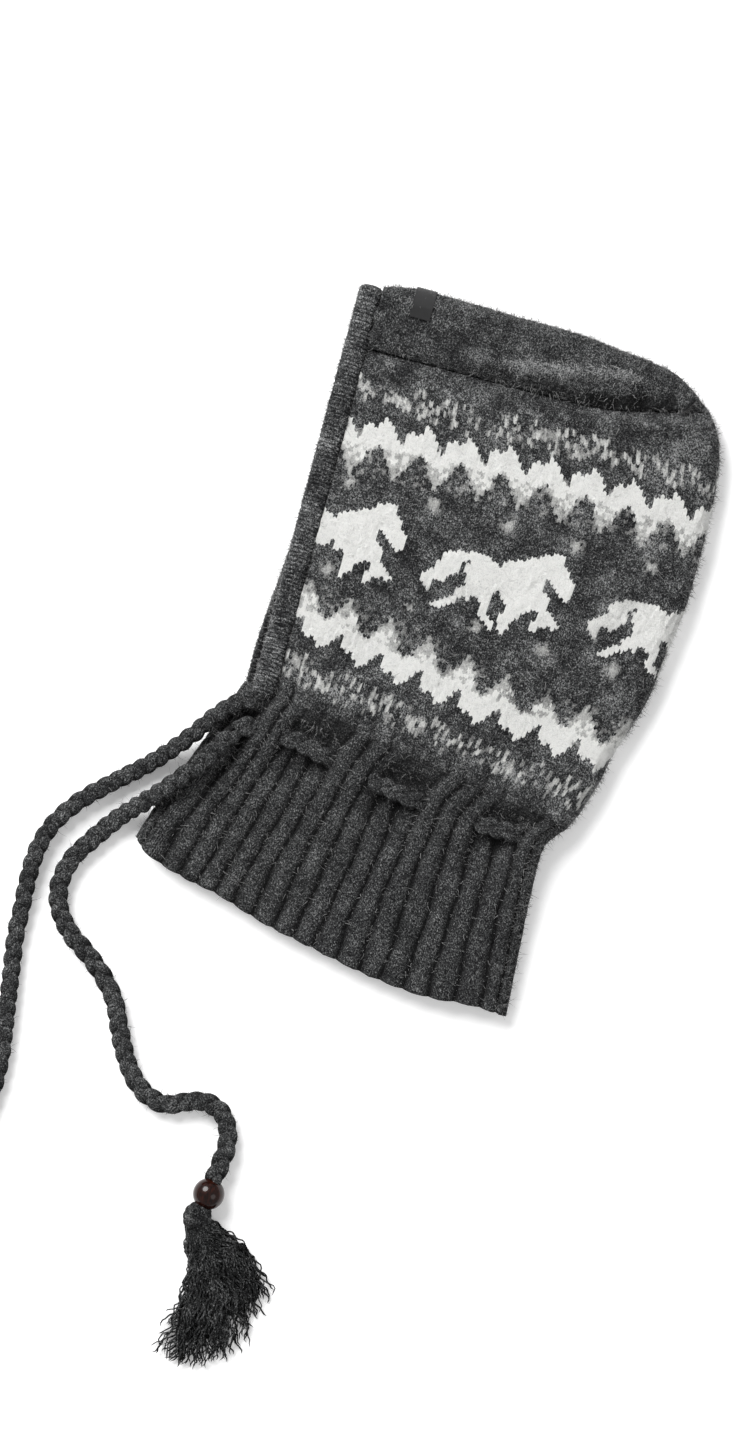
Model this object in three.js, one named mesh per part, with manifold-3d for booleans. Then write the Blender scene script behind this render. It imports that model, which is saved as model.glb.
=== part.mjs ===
// Knitted hood with a threaded drawcord, lying flat on its side. Millimetres, +Z up.
// +X runs from the face to the back of the head, +Y from the hem to the crown.
// The near layer is the upper one, and the far layer rests on the surface at z = 0.
import * as THREE from "three";
import { mergeVertices } from "three/addons/utils/BufferGeometryUtils.js";
import Module from "manifold-3d";

const wasm = await Module();
wasm.setup();

// Overall sizes of the hood as it lies
const HOOD_LENGTH = 402;
const HOOD_DEPTH = 278;
const GAP = 0.3;
const SEAM_GAP = 0.5;

// Knit walls
const BODY_WALL = 3.6;
const BODY_HEIGHT = 24;
const BODY_FOLD = 11;
const CROWN_DROP = 43.5;
const CROWN_HEIGHT = 22;

// Placket round the face
const BAND_WIDTH = 13;
const BAND_THICKNESS = 7;
const BAND_SLIP = 5;

// Ribbed neck
const RIB_WALL = 3.2;
const RIB_RELIEF = 1.5;
const RIBS_PER_LAYER = 16;
const NECK_FOLD = 10;
const HEM_HEIGHT = 16;

// Knitted cord, and its flattened stretch inside the neck
const CORD_DIAMETER = 11.8;
const CORD_FLAT = 6;
const CORD_FLAT_WIDTH = 10.6;
const CORD_SIDES = 8;
const CORD_ROOM = 0.7;

// Beads and tassels on the two ends
const BEAD_DIAMETER = 18.6;
const BEAD_BORE = 6.4;
const TASSEL_HEAD_LENGTH = 17;
const TASSEL_HEAD_DIAMETER = 16.5;
const TASSEL_SKIRT = 82;
const LOCK_DIAMETER = 14;

// Woven tab on the crown's edge
const TAB_WIDTH = 12.2;
const TAB_LENGTH = 18;
const TAB_THICKNESS = 0.8;
const TAB_CENTRE = -0.2025 * HOOD_DEPTH;

// Heights that follow from the wall and the cord
const RIB_THICKNESS = RIB_WALL + RIB_RELIEF;
const PRESS = CORD_FLAT + 2 * CORD_ROOM;
const GATHER_HEIGHT = 2 * RIB_THICKNESS + 2 * CORD_FLAT + 4 * CORD_ROOM;
const FACE_X = -0.2925 * HOOD_DEPTH;

// Outlines: x is a share of the hood's depth and y a share of its length, both from the middle
const TOP_OUTLINE = [
  { x: -0.2925, y: 0.4955 },
  { x: -0.2428, y: 0.4972 },
  { x: -0.1043, y: 0.4965 },
  { x: 0.0, y: 0.495 },
  { x: 0.1367, y: 0.494 },
  { x: 0.2158, y: 0.4876 },
  { x: 0.3525, y: 0.4726 },
  { x: 0.4245, y: 0.4428 },
  { x: 0.4442, y: 0.4323 },
];
const BACK_OUTLINE = [
  { x: 0.3759, y: -0.209 },
  { x: 0.3921, y: -0.1841 },
  { x: 0.4173, y: -0.1318 },
  { x: 0.4317, y: -0.0821 },
  { x: 0.4586, y: -0.0299 },
  { x: 0.4748, y: 0.0174 },
  { x: 0.4856, y: 0.0846 },
  { x: 0.4964, y: 0.1368 },
  { x: 0.5, y: 0.1915 },
  { x: 0.4978, y: 0.2985 },
  { x: 0.4892, y: 0.3582 },
  { x: 0.4676, y: 0.4067 },
  { x: 0.4442, y: 0.4316 },
];
const CROWN_SEAM = [
  { x: -0.2925, rise: 0 },
  { x: -0.1, rise: 0 },
  { x: 0.08, rise: 0.004 },
  { x: 0.2, rise: 0.025 },
  { x: 0.285, rise: 0.11 },
  { x: 0.3597, rise: 0.235 },
  { x: 0.4281, rise: 0.345 },
  { x: 0.4442, rise: 0.3685 },
];
const CROWN_TIP_SHARE = 0.976;
const NECK_FRONT = [
  { x: -0.3615, y: -0.1219 },
  { x: -0.3849, y: -0.1642 },
  { x: -0.4065, y: -0.2065 },
  { x: -0.4353, y: -0.2587 },
  { x: -0.4568, y: -0.2935 },
  { x: -0.482, y: -0.3433 },
  { x: -0.5, y: -0.3831 },
];
const NECK_BACK = [
  { x: 0.3759, y: -0.21 },
  { x: 0.3417, y: -0.2413 },
  { x: 0.3381, y: -0.2761 },
  { x: 0.3417, y: -0.3408 },
  { x: 0.3489, y: -0.4204 },
  { x: 0.3561, y: -0.4975 },
];
const HEM = [
  { x: -0.5, y: -0.3831 },
  { x: -0.4676, y: -0.403 },
  { x: -0.3669, y: -0.4254 },
  { x: -0.3094, y: -0.4328 },
  { x: -0.1906, y: -0.4577 },
  { x: -0.0719, y: -0.4751 },
  { x: 0.036, y: -0.49 },
  { x: 0.1727, y: -0.5 },
  { x: 0.277, y: -0.495 },
  { x: 0.3561, y: -0.4975 },
];

// Heights of the near layer: share of the body's height along a row's rise and across its reach
const BODY_RISE = [
  { rise: 0, height: 0.9 },
  { rise: 0.1, height: 0.97 },
  { rise: 0.3, height: 0.93 },
  { rise: 0.5, height: 0.98 },
  { rise: 0.72, height: 0.94 },
  { rise: 0.9, height: 1 },
  { rise: 1, height: 0.8 },
];
const BODY_REACH = [
  { reach: 0, height: 0.86 },
  { reach: 0.12, height: 0.95 },
  { reach: 0.45, height: 1 },
  { reach: 0.8, height: 0.96 },
  { reach: 1, height: 0.88 },
];
const CROWN_REACH = [
  { reach: 0, height: 0.84 },
  { reach: 0.22, height: 1 },
  { reach: 0.6, height: 0.97 },
  { reach: 1, height: 0.9 },
];
const NECK_DROP = [
  { drop: 0, height: 0.95 },
  { drop: 0.14, height: 1 },
  { drop: 0.36, height: 0.86 },
  { drop: 0.65, height: 0.75 },
  { drop: 1, height: HEM_HEIGHT / GATHER_HEIGHT },
];
const NECK_ROWS = [0, 0.06, 0.13, 0.2, 0.3, 0.46, 0.7, 1];

// Soft folds pressed into the near layer of the body: where they start and end, and how deep they are
const BODY_FOLDS = [
  { x1: 0.1, y1: 0.366, x2: 0.42, y2: 0.33, depth: 0.1, width: 0.028 },
  { x1: 0.02, y1: -0.14, x2: 0.08, y2: -0.02, depth: 0.09, width: 0.035 },
  { x1: -0.2, y1: -0.12, x2: -0.13, y2: -0.05, depth: 0.09, width: 0.03 },
  { x1: 0.25, y1: -0.19, x2: 0.3, y2: -0.06, depth: 0.1, width: 0.035 },
];

// Stretches where the cord lies outside the wall, as shares of the neck's reach
const NEAR_FLOATS = [
  { from: -1, to: 0.1 },
  { from: 0.187, to: 0.338 },
  { from: 0.475, to: 0.626 },
  { from: 0.798, to: 0.915 },
];
const FAR_FLOATS = [
  { from: 0.338, to: 0.475 },
  { from: 0.626, to: 0.798 },
];
const FLOAT_RAMP_SHARE = 0.028;
const CORD_DROP_SHARE = 0.12;
const CORD_SAG_SHARE = 0.06;

// Where the two tails leave the neck, and the routes that they lie in
const TAIL_NEAR_ROUTE = [
  [-97.5, -79, 23.4],
  [-102, -85.5, 24.8],
  [-109.5, -98, 26],
  [-122.5, -114.5, 24.8],
  [-137.5, -131.5, 16],
  [-151, -145.5, 6.6],
  [-163, -162, 6.2],
  [-172, -177, 6.2],
  [-175, -193, 6.2],
  [-171.5, -206.5, 6.2],
  [-161.5, -219, 6.2],
  [-149, -228, 6.2],
  [-136, -239, 6.2],
  [-126, -251, 6.2],
  [-119, -266, 6.2],
  [-110, -283, 6.2],
  [-101, -294, 6.2],
  [-92, -300, 6.2],
  [-81, -302, 6.2],
  [-70, -297.5, 6.2],
  [-59, -294.5, 6.2],
  [-48.5, -298, 6.2],
  [-42.5, -306, 6.2],
  [-40, -317, 7],
  [-41, -328, 8.6],
  [-42.1, -336.2, 9.3],
];
const TAIL_FAR_ROUTE = [
  [-98.5, -61.2, 23.2],
  [-103.5, -64.6, 23.4],
  [-111, -72.5, 21],
  [-124, -90, 13.5],
  [-141, -109.5, 6.6],
  [-161, -127.5, 6.2],
  [-176.5, -142.5, 6.2],
  [-188, -160, 6.2],
  [-193, -176.5, 6.2],
  [-194, -195, 6.2],
  [-193, -212, 6.2],
  [-192, -230, 6.2],
  [-189, -252, 6.2],
  [-185.5, -276, 6.2],
  [-182, -299, 6.2],
  [-181.5, -316, 6.2],
  [-184, -335, 6.2],
  [-188, -354, 6.2],
  [-191.5, -373, 7.2],
  [-194.6, -390.8, 9.3],
];
const END_NEAR = { x: -43, y: -346, heading: 169 };
const END_FAR = { x: -196.2, y: -400.6, heading: 170 };

// Locks of the tassels: turn from the head's axis in degrees, length as a share of the skirt, lift
const LOCKS_NEAR = [
  { turn: 11, length: 0.95, lift: 0.35, bow: -2 },
  { turn: 18, length: 1, lift: 0.6, bow: 2 },
  { turn: 25, length: 1, lift: 0.4, bow: 4 },
  { turn: 32, length: 0.98, lift: 0.7, bow: 3 },
  { turn: 40, length: 0.95, lift: 0.35, bow: 2 },
  { turn: 49, length: 0.88, lift: 0.6, bow: -3 },
  { turn: 59, length: 0.84, lift: 0.35, bow: -6 },
  { turn: 70, length: 0.8, lift: 0.5, bow: -8 },
  { turn: 30, length: 0.72, lift: 1, bow: 6 },
  { turn: 50, length: 0.64, lift: 1, bow: -5 },
];
const LOCKS_FAR = LOCKS_NEAR.map((lock) => ({ ...lock, turn: 1.2 * (lock.turn - 40) }));

function lerp(a, b, share) {
  return a + (b - a) * share;
}

function smooth(from, to, value) {
  const share = Math.min(Math.max((value - from) / (to - from), 0), 1);
  return share * share * (3 - 2 * share);
}

// Reads one column of a table at a value of its first column, eased between the rows.
function readTable(table, key, column, value) {
  let next = 1;
  while (next < table.length - 1 && table[next][key] < value) next += 1;
  const low = table[next - 1];
  const high = table[next];
  return lerp(low[column], high[column], smooth(low[key], high[key], value));
}

function outlineCurve(table) {
  const points = table.map((row) => new THREE.Vector3(row.x * HOOD_DEPTH, row.y * HOOD_LENGTH, 0));
  return new THREE.CatmullRomCurve3(points, false, "centripetal");
}

// Blends four border curves into one flat patch, each curve running the way its parameter grows.
function coonsPatch(start, end, left, right) {
  return (s, t) => {
    const a = start(t);
    const b = end(t);
    const l = left(s);
    const r = right(s);
    const corners = [left(0), right(0), left(1), right(1)];
    const blend = (axis) =>
      lerp(a[axis], b[axis], s) +
      lerp(l[axis], r[axis], t) -
      lerp(lerp(corners[0][axis], corners[1][axis], t), lerp(corners[2][axis], corners[3][axis], t), s);
    return { x: blend("x"), y: blend("y") };
  };
}

// Joins rings of equal length into one closed surface. An open row is capped by strips that pair
// each point of a ring with the one opposite it, and a closed row returns to its first ring.
function skin(rings, closedRow = false) {
  const rows = rings.length;
  const cols = rings[0].length;
  const index = [];
  const at = (row, col) => (row % rows) * cols + (col % cols);
  const quad = (a, b, c, d) => index.push(a, b, c, a, c, d);
  for (let row = 0; row < (closedRow ? rows : rows - 1); row += 1) {
    for (let col = 0; col < cols; col += 1) {
      quad(at(row, col), at(row, col + 1), at(row + 1, col + 1), at(row + 1, col));
    }
  }
  for (let col = 0; !closedRow && col < cols / 2 - 1; col += 1) {
    const facing = cols - 1 - col;
    quad(at(0, col), at(0, facing), at(0, facing - 1), at(0, col + 1));
    quad(at(rows - 1, col), at(rows - 1, col + 1), at(rows - 1, facing - 1), at(rows - 1, facing));
  }
  const geometry = new THREE.BufferGeometry();
  geometry.setAttribute("position", new THREE.Float32BufferAttribute(rings.flat(2), 3));
  geometry.setIndex(index);
  return facingOut(geometry);
}

// Turns every triangle round where the closed surface encloses a negative volume.
function facingOut(geometry) {
  const points = geometry.getAttribute("position");
  const index = geometry.getIndex().array;
  const corner = (i) => new THREE.Vector3().fromBufferAttribute(points, index[i]);
  let volume = 0;
  for (let i = 0; i < index.length; i += 3) {
    volume += corner(i).dot(corner(i + 1).cross(corner(i + 2)));
  }
  if (volume < 0) {
    const turned = [];
    for (let i = 0; i < index.length; i += 3) turned.push(index[i], index[i + 2], index[i + 1]);
    geometry.setIndex(turned);
  }
  return geometry;
}

function toSolid(geometry) {
  const bare = geometry.clone();
  bare.deleteAttribute("normal");
  bare.deleteAttribute("uv");
  const merged = mergeVertices(bare, 1e-4);
  return new wasm.Manifold(
    new wasm.Mesh({
      numProp: 3,
      vertProperties: merged.getAttribute("position").array,
      triVerts: new Uint32Array(merged.getIndex().array),
    }),
  );
}

function toGeometry(solid) {
  const mesh = solid.getMesh();
  const geometry = new THREE.BufferGeometry();
  geometry.setAttribute("position", new THREE.Float32BufferAttribute(mesh.vertProperties, 3));
  geometry.setIndex(Array.from(mesh.triVerts));
  return geometry;
}

function largestBody(solid) {
  return solid.decompose().reduce((best, body) => (body.volume() > best.volume() ? body : best));
}

// The seam where the body is knitted on to the neck, a straight line below the gathers' upper end.
const SEAM_FRONT = { x: NECK_FRONT[0].x * HOOD_DEPTH, y: NECK_FRONT[0].y * HOOD_LENGTH };
const SEAM_BACK = { x: NECK_BACK[0].x * HOOD_DEPTH, y: NECK_BACK[0].y * HOOD_LENGTH };
function neckSeamY(x) {
  return lerp(SEAM_FRONT.y, SEAM_BACK.y, (x - SEAM_FRONT.x) / (SEAM_BACK.x - SEAM_FRONT.x));
}

// The seam between the body and the crown panel, from the face to the tip at the back.
const CROWN_SEAM_Y = HOOD_LENGTH / 2 - CROWN_DROP;
const crownSeamCurve = new THREE.CatmullRomCurve3(
  CROWN_SEAM.map((row) => new THREE.Vector3(row.x * HOOD_DEPTH, CROWN_SEAM_Y + row.rise * CROWN_DROP, 0)),
  false,
  "centripetal",
);

// Depth of the soft folds at a place on the near layer.
function foldDepth(x, y) {
  let depth = 0;
  for (const fold of BODY_FOLDS) {
    const from = new THREE.Vector2(fold.x1 * HOOD_DEPTH, fold.y1 * HOOD_LENGTH);
    const run = new THREE.Vector2(fold.x2 * HOOD_DEPTH, fold.y2 * HOOD_LENGTH).sub(from);
    const away = new THREE.Vector2(x, y).sub(from);
    const share = Math.min(Math.max(away.dot(run) / run.lengthSq(), 0), 1);
    const distance = away.sub(run.multiplyScalar(share)).length();
    depth += fold.depth * BODY_HEIGHT * Math.exp(-((distance / (fold.width * HOOD_LENGTH)) ** 2));
  }
  return depth;
}

// A wall folded once: near layer, fold at the rim (t = 1), far layer, with open edges at t = 0.
// slip moves the far layer's open edge along its row.
function foldedWall({ plan, top, slip, fold, rows, flatColumns, foldColumns }) {
  const rings = [];
  for (let row = 0; row <= rows; row += 1) {
    const s = row / rows;
    const edge = plan(s, 0);
    const rim = plan(s, 1);
    const length = Math.hypot(rim.x - edge.x, rim.y - edge.y);
    const radius = Math.min(fold, 0.98 * length);
    const bend = 1 - radius / length;
    const rimHeight = top(s, bend);
    const along = { x: (rim.x - edge.x) / length, y: (rim.y - edge.y) / length };
    const layers = [0, BODY_WALL].map((inset) => {
      const side = [];
      for (let col = 0; col <= flatColumns; col += 1) {
        const t = (bend * col) / flatColumns;
        const place = plan(s, t);
        side.push([place.x, place.y, top(s, t) - inset]);
      }
      for (let col = 1; col < foldColumns; col += 1) {
        const angle = Math.PI * (0.5 - col / foldColumns);
        const t = bend + (1 - bend) * ((radius - inset) / radius) * Math.cos(angle);
        const place = plan(s, t);
        side.push([place.x, place.y, rimHeight / 2 + (rimHeight / 2 - inset) * Math.sin(angle)]);
      }
      for (let col = flatColumns; col >= 0; col -= 1) {
        const t = (bend * col) / flatColumns;
        const place = plan(s, t);
        const shift = slip(s) * (1 - t);
        side.push([place.x + shift * along.x, place.y + shift * along.y, inset]);
      }
      return side;
    });
    rings.push([...layers[0], ...layers[1].reverse()]);
  }
  return skin(rings);
}

// Body: rows run from the face edge to the back fold, from the neck seam up to the crown seam.
const backCurve = outlineCurve(BACK_OUTLINE);
const bodyPlan = coonsPatch(
  (t) => {
    const x = lerp(FACE_X, SEAM_BACK.x, t);
    return { x, y: neckSeamY(x) + GAP };
  },
  (t) => crownSeamCurve.getPointAt(t),
  (s) => ({ x: FACE_X, y: lerp(neckSeamY(FACE_X) + GAP, CROWN_SEAM_Y, s) }),
  (s) => backCurve.getPointAt(s),
);

function bodyTop(s, t) {
  const place = bodyPlan(s, t);
  const share = readTable(BODY_RISE, "rise", "height", s) * readTable(BODY_REACH, "reach", "height", t);
  return BODY_HEIGHT * share - foldDepth(place.x, place.y);
}

function bandSlip(s) {
  return -BAND_SLIP * (1 - smooth(0.1, 0.5, s));
}

function hoodBody() {
  return foldedWall({
    plan: bodyPlan,
    top: bodyTop,
    slip: bandSlip,
    fold: BODY_FOLD,
    rows: 14,
    flatColumns: 12,
    foldColumns: 6,
  });
}

// Crown panel: sections run from the face to the back, each from the seam up over the top fold.
const topCurve = outlineCurve(TOP_OUTLINE);
function crownPlan(s, t) {
  const seam = crownSeamCurve.getPointAt(CROWN_TIP_SHARE * s);
  const rim = topCurve.getPointAt(s);
  return { x: lerp(seam.x, rim.x, t), y: lerp(seam.y + SEAM_GAP, rim.y, t) };
}

function crownTop(s, t) {
  const back = lerp(1, 0.86, smooth(0.75, 1, s));
  return CROWN_HEIGHT * back * readTable(CROWN_REACH, "reach", "height", t);
}

function crownPanel() {
  return foldedWall({
    plan: crownPlan,
    top: crownTop,
    slip: () => 0,
    fold: BODY_FOLD,
    rows: 15,
    flatColumns: 4,
    foldColumns: 6,
  });
}

// Face band: an oval section that runs up the near leg, over the top fold and down the far leg.
function faceBand() {
  const nearX = FACE_X - GAP - BAND_WIDTH / 2;
  const farZ = BAND_THICKNESS / 2;
  const bottom = neckSeamY(nearX - BAND_WIDTH / 2) + GAP;
  const farBottom = neckSeamY(nearX - BAND_SLIP - BAND_WIDTH / 2) + GAP;
  const loopTop = 0.4826 * HOOD_LENGTH - BAND_THICKNESS / 2;
  const nearZ = (s) => bodyTop(s, 0) - BODY_WALL / 2;
  const radius = (nearZ(1) - farZ) / 2;
  const loopStart = loopTop - radius;
  const rise = (y) => Math.min((y - bottom) / (CROWN_SEAM_Y - bottom), 1);
  const stations = [];
  const legSteps = 10;
  const turnSteps = 6;
  for (let step = 0; step <= legSteps; step += 1) {
    const y = lerp(bottom, loopStart, step / legSteps);
    stations.push({ x: nearX, y, z: nearZ(rise(y)), turn: 0 });
  }
  for (let step = 1; step < turnSteps; step += 1) {
    const turn = (Math.PI * step) / turnSteps;
    const z = farZ + radius * (1 + Math.cos(turn));
    stations.push({ x: nearX, y: loopStart + radius * Math.sin(turn), z, turn });
  }
  for (let step = legSteps; step >= 0; step -= 1) {
    const y = lerp(farBottom, loopStart, step / legSteps);
    stations.push({ x: nearX + bandSlip(rise(y)), y, z: farZ, turn: Math.PI });
  }
  const sides = 10;
  const rings = stations.map(({ x, y, z, turn }) => {
    const ring = [];
    for (let side = 0; side < sides; side += 1) {
      const angle = (2 * Math.PI * (side + 0.5)) / sides;
      const across = (Math.sign(Math.cos(angle)) * Math.abs(Math.cos(angle)) ** 0.6 * BAND_WIDTH) / 2;
      const out = (Math.sign(Math.sin(angle)) * Math.abs(Math.sin(angle)) ** 0.6 * BAND_THICKNESS) / 2;
      ring.push([x + across, y + out * Math.sin(turn), z + out * Math.cos(turn)]);
    }
    return ring;
  });
  return skin(rings);
}

// Neck plan: s runs from the body seam down to the hem, t from the front fold to the back fold.
const hemCurve = outlineCurve(HEM);
const neckFrontCurve = outlineCurve(NECK_FRONT);
const neckBackCurve = outlineCurve(NECK_BACK);
const neckPlan = coonsPatch(
  (t) => ({ x: lerp(SEAM_FRONT.x, SEAM_BACK.x, t), y: lerp(SEAM_FRONT.y, SEAM_BACK.y, t) }),
  (t) => hemCurve.getPointAt(t),
  (s) => neckFrontCurve.getPointAt(s),
  (s) => neckBackCurve.getPointAt(s),
);

function cordLine(t) {
  return CORD_DROP_SHARE + CORD_SAG_SHARE * Math.sin(Math.PI * Math.min(Math.max(t, 0), 1));
}

function floatShare(floats, t) {
  const step = (place) => smooth(place - FLOAT_RAMP_SHARE, place + FLOAT_RAMP_SHARE, t);
  return floats.reduce((sum, { from, to }) => sum + step(from) * (1 - step(to)), 0);
}

// How far a float presses the wall in: full under the cord, fading upwards and farther downwards.
function pressShare(floats, s, t) {
  const away = s - cordLine(t);
  const spread = t < 0.12 ? 0.22 : 0.07;
  const fade = away < 0 ? smooth(-spread - 0.06, -spread, away) : 1 - smooth(spread, spread + 0.24, away);
  return floatShare(floats, t) * fade;
}

function neckTop(s, t) {
  return GATHER_HEIGHT * readTable(NECK_DROP, "drop", "height", s) - PRESS * pressShare(NEAR_FLOATS, s, t);
}

function neckBottom(s, t) {
  return PRESS * pressShare(FAR_FLOATS, s, t);
}

// Columns round the neck: near layer, back fold, far layer, front fold, ridge and furrow by turns.
function neckColumns() {
  const columns = [];
  const flats = 2 * RIBS_PER_LAYER;
  const turns = 8;
  for (let k = 0; k <= flats; k += 1) columns.push({ side: 1, across: k / flats, angle: Math.PI / 2 });
  for (let k = 1; k < turns; k += 1) columns.push({ rim: 1, angle: Math.PI * (0.5 - k / turns) });
  for (let k = flats; k >= 0; k -= 1) columns.push({ side: -1, across: k / flats, angle: -Math.PI / 2 });
  for (let k = 1; k < turns; k += 1) columns.push({ rim: -1, angle: Math.PI * (-0.5 + k / turns) });
  return columns.map((column, k) => ({ ...column, furrow: k % 2 === 1 }));
}

function neckPoint(column, s, inset) {
  const front = neckPlan(s, 0);
  const back = neckPlan(s, 1);
  const bend = NECK_FOLD / Math.hypot(back.x - front.x, back.y - front.y);
  let t = lerp(bend, 1 - bend, column.across);
  if (column.rim) {
    const swing = bend * ((NECK_FOLD - inset) / NECK_FOLD) * Math.cos(column.angle);
    t = column.rim > 0 ? 1 - bend + swing : bend - swing;
  }
  const place = neckPlan(s, t);
  const low = neckBottom(s, t);
  const high = neckTop(s, t);
  const half = (high - low) / 2;
  return [place.x, place.y, low + half + (half - inset) * Math.sin(column.angle)];
}

function neckTube() {
  const rings = neckColumns().map((column) => {
    const relief = column.furrow ? RIB_RELIEF : 0;
    const outer = NECK_ROWS.map((s) => neckPoint(column, s, relief));
    const inner = NECK_ROWS.map((s) => neckPoint(column, s, RIB_THICKNESS));
    return [...outer, ...inner.reverse()];
  });
  return skin(rings, true);
}

// Height of the threaded cord's centre above the surface, inside or outside each wall.
const NEAR_INSIDE = GATHER_HEIGHT - RIB_THICKNESS - CORD_ROOM - CORD_FLAT / 2;
const NEAR_OUTSIDE = GATHER_HEIGHT - PRESS + CORD_ROOM + CORD_FLAT / 2;
const FAR_INSIDE = RIB_THICKNESS + CORD_ROOM + CORD_FLAT / 2;
const FAR_OUTSIDE = CORD_ROOM + CORD_FLAT / 2;

function threadedPoint(t, aside, z) {
  const place = neckPlan(cordLine(t), t);
  return new THREE.Vector3(place.x, place.y + aside, z);
}

// A point behind the start of a tail, on the line that the tail leaves the neck in.
function beforeExit(route, distance) {
  const start = new THREE.Vector3(...route[0]);
  const away = new THREE.Vector3(...route[1]).sub(start).normalize();
  return start.sub(away.multiplyScalar(distance));
}

// A path whose section keeps its width level, so that the flattened cord never twists.
class LevelPath extends THREE.CatmullRomCurve3 {
  computeFrenetFrames(segments) {
    const frames = { tangents: [], normals: [], binormals: [] };
    for (let k = 0; k <= segments; k += 1) {
      const tangent = this.getTangentAt(k / segments);
      const width = new THREE.Vector3(0, 1, 0).addScaledVector(tangent, -tangent.y).normalize();
      frames.tangents.push(tangent);
      frames.normals.push(new THREE.Vector3().crossVectors(width, tangent));
      frames.binormals.push(width);
    }
    return frames;
  }
}

// Threaded stretch: from the near exit along the near layer, round the back and along the far layer.
function threadedRoute() {
  const points = [beforeExit(TAIL_NEAR_ROUTE, GAP), beforeExit(TAIL_NEAR_ROUTE, 5)];
  const lastNear = 0.925;
  const steps = 26;
  for (let step = 0; step <= steps; step += 1) {
    const t = lerp(0.1, lastNear, step / steps);
    const aside = lerp(-7, 0, smooth(0.1, 0.24, t));
    points.push(threadedPoint(t, aside, lerp(NEAR_INSIDE, NEAR_OUTSIDE, floatShare(NEAR_FLOATS, t))));
  }
  points.push(threadedPoint(0.945, 0, NEAR_INSIDE));
  points.push(threadedPoint(0.958, 0, (NEAR_INSIDE + FAR_INSIDE) / 2));
  points.push(threadedPoint(0.945, 0, FAR_INSIDE));
  for (let step = steps; step >= 1; step -= 1) {
    const t = lerp(0.13, lastNear, step / steps);
    const aside = lerp(8, 0, smooth(0.13, 0.27, t));
    points.push(threadedPoint(t, aside, lerp(FAR_INSIDE, FAR_OUTSIDE, floatShare(FAR_FLOATS, t))));
  }
  points.push(threadedPoint(0.1, 8, lerp(FAR_INSIDE, TAIL_FAR_ROUTE[0][2], 0.35)));
  points.push(beforeExit(TAIL_FAR_ROUTE, 5), beforeExit(TAIL_FAR_ROUTE, GAP));
  return new LevelPath(points, false, "centripetal");
}

// An oval of the given thickness and width, extruded along a path.
function ovalTube(path, thickness, width, steps) {
  const oval = new THREE.Shape();
  for (let side = 0; side < CORD_SIDES; side += 1) {
    const angle = (2 * Math.PI * side) / CORD_SIDES;
    const x = (thickness / 2) * Math.cos(angle);
    const y = (width / 2) * Math.sin(angle);
    if (side === 0) oval.moveTo(x, y);
    else oval.lineTo(x, y);
  }
  oval.closePath();
  return new THREE.ExtrudeGeometry(oval, { steps, extrudePath: path });
}

function threadedCord(clearance) {
  return ovalTube(threadedRoute(), CORD_FLAT + 2 * clearance, CORD_FLAT_WIDTH + 2 * clearance, 48);
}

function cordTail(route, steps) {
  const points = route.map((point) => new THREE.Vector3(...point));
  const path = new THREE.CatmullRomCurve3(points, false, "centripetal");
  return ovalTube(path, CORD_DIAMETER, CORD_DIAMETER, steps);
}

// Bead: a ball with a bore along its axis, both turned as one closed profile.
function bead() {
  const radius = BEAD_DIAMETER / 2;
  const bore = BEAD_BORE / 2;
  const start = Math.asin(bore / radius);
  const profile = [];
  const steps = 7;
  for (let step = 0; step <= steps; step += 1) {
    const angle = lerp(start, Math.PI - start, step / steps);
    profile.push(new THREE.Vector2(radius * Math.sin(angle), -radius * Math.cos(angle)));
  }
  profile.push(profile[0].clone());
  return new THREE.LatheGeometry(profile, 14);
}

// One lock of yarn from the head's mouth to its own tip, bowed sideways and settling on the surface.
function tasselLock({ turn, length, lift, bow }, headEnd) {
  const angle = THREE.MathUtils.degToRad(turn);
  const reach = length * TASSEL_SKIRT;
  const rest = LOCK_DIAMETER / 2;
  const sections = 5;
  const sides = 5;
  const rings = [];
  for (let section = 0; section <= sections; section += 1) {
    const share = section / sections;
    const spread = angle * Math.sqrt(share);
    const aside = bow * Math.sin(Math.PI * share);
    const x = -reach * share * Math.sin(spread) - aside * Math.cos(spread);
    const y = headEnd + reach * share * Math.cos(spread) - aside * Math.sin(spread);
    const belly = 0.55 + 0.5 * Math.sin(Math.PI * Math.min(share * 1.2, 1));
    const width = LOCK_DIAMETER * belly * (1 - 0.5 * share ** 3);
    const height = width * lerp(0.8, 0.5, share);
    const stack = lift * rest * Math.sin(Math.PI * Math.min(share + 0.15, 1));
    const z = lerp(BEAD_DIAMETER / 2, height / 2, smooth(0, 0.6, share)) + stack;
    const ring = [];
    for (let side = 0; side < sides; side += 1) {
      const round = (2 * Math.PI * (side + 0.5)) / sides;
      const across = (width / 2) * Math.cos(round);
      ring.push([
        x - across * Math.cos(spread),
        y - across * Math.sin(spread),
        z + (height / 2) * Math.sin(round),
      ]);
    }
    rings.push(ring);
  }
  return skin(rings);
}

// Tassel along +Y from the bead's centre: a stem through the bore, a wrapped head and fused locks.
function tassel(locks) {
  const beadRadius = BEAD_DIAMETER / 2;
  const stemRadius = BEAD_BORE / 2 - GAP;
  const stem = new THREE.CylinderGeometry(stemRadius, stemRadius, 2 * beadRadius, 8);
  stem.translate(0, 0.8, beadRadius);
  const head = new THREE.SphereGeometry(TASSEL_HEAD_DIAMETER / 2, 10, 7);
  head.scale(1, TASSEL_HEAD_LENGTH / TASSEL_HEAD_DIAMETER, 1);
  const headCentre = beadRadius + TASSEL_HEAD_LENGTH / 2 - 0.4;
  head.translate(0, headCentre, beadRadius);
  let solid = toSolid(stem).add(toSolid(head));
  for (const lock of locks) {
    solid = solid.add(toSolid(tasselLock(lock, headCentre + TASSEL_HEAD_LENGTH * 0.3)));
  }
  return toGeometry(solid);
}

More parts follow.
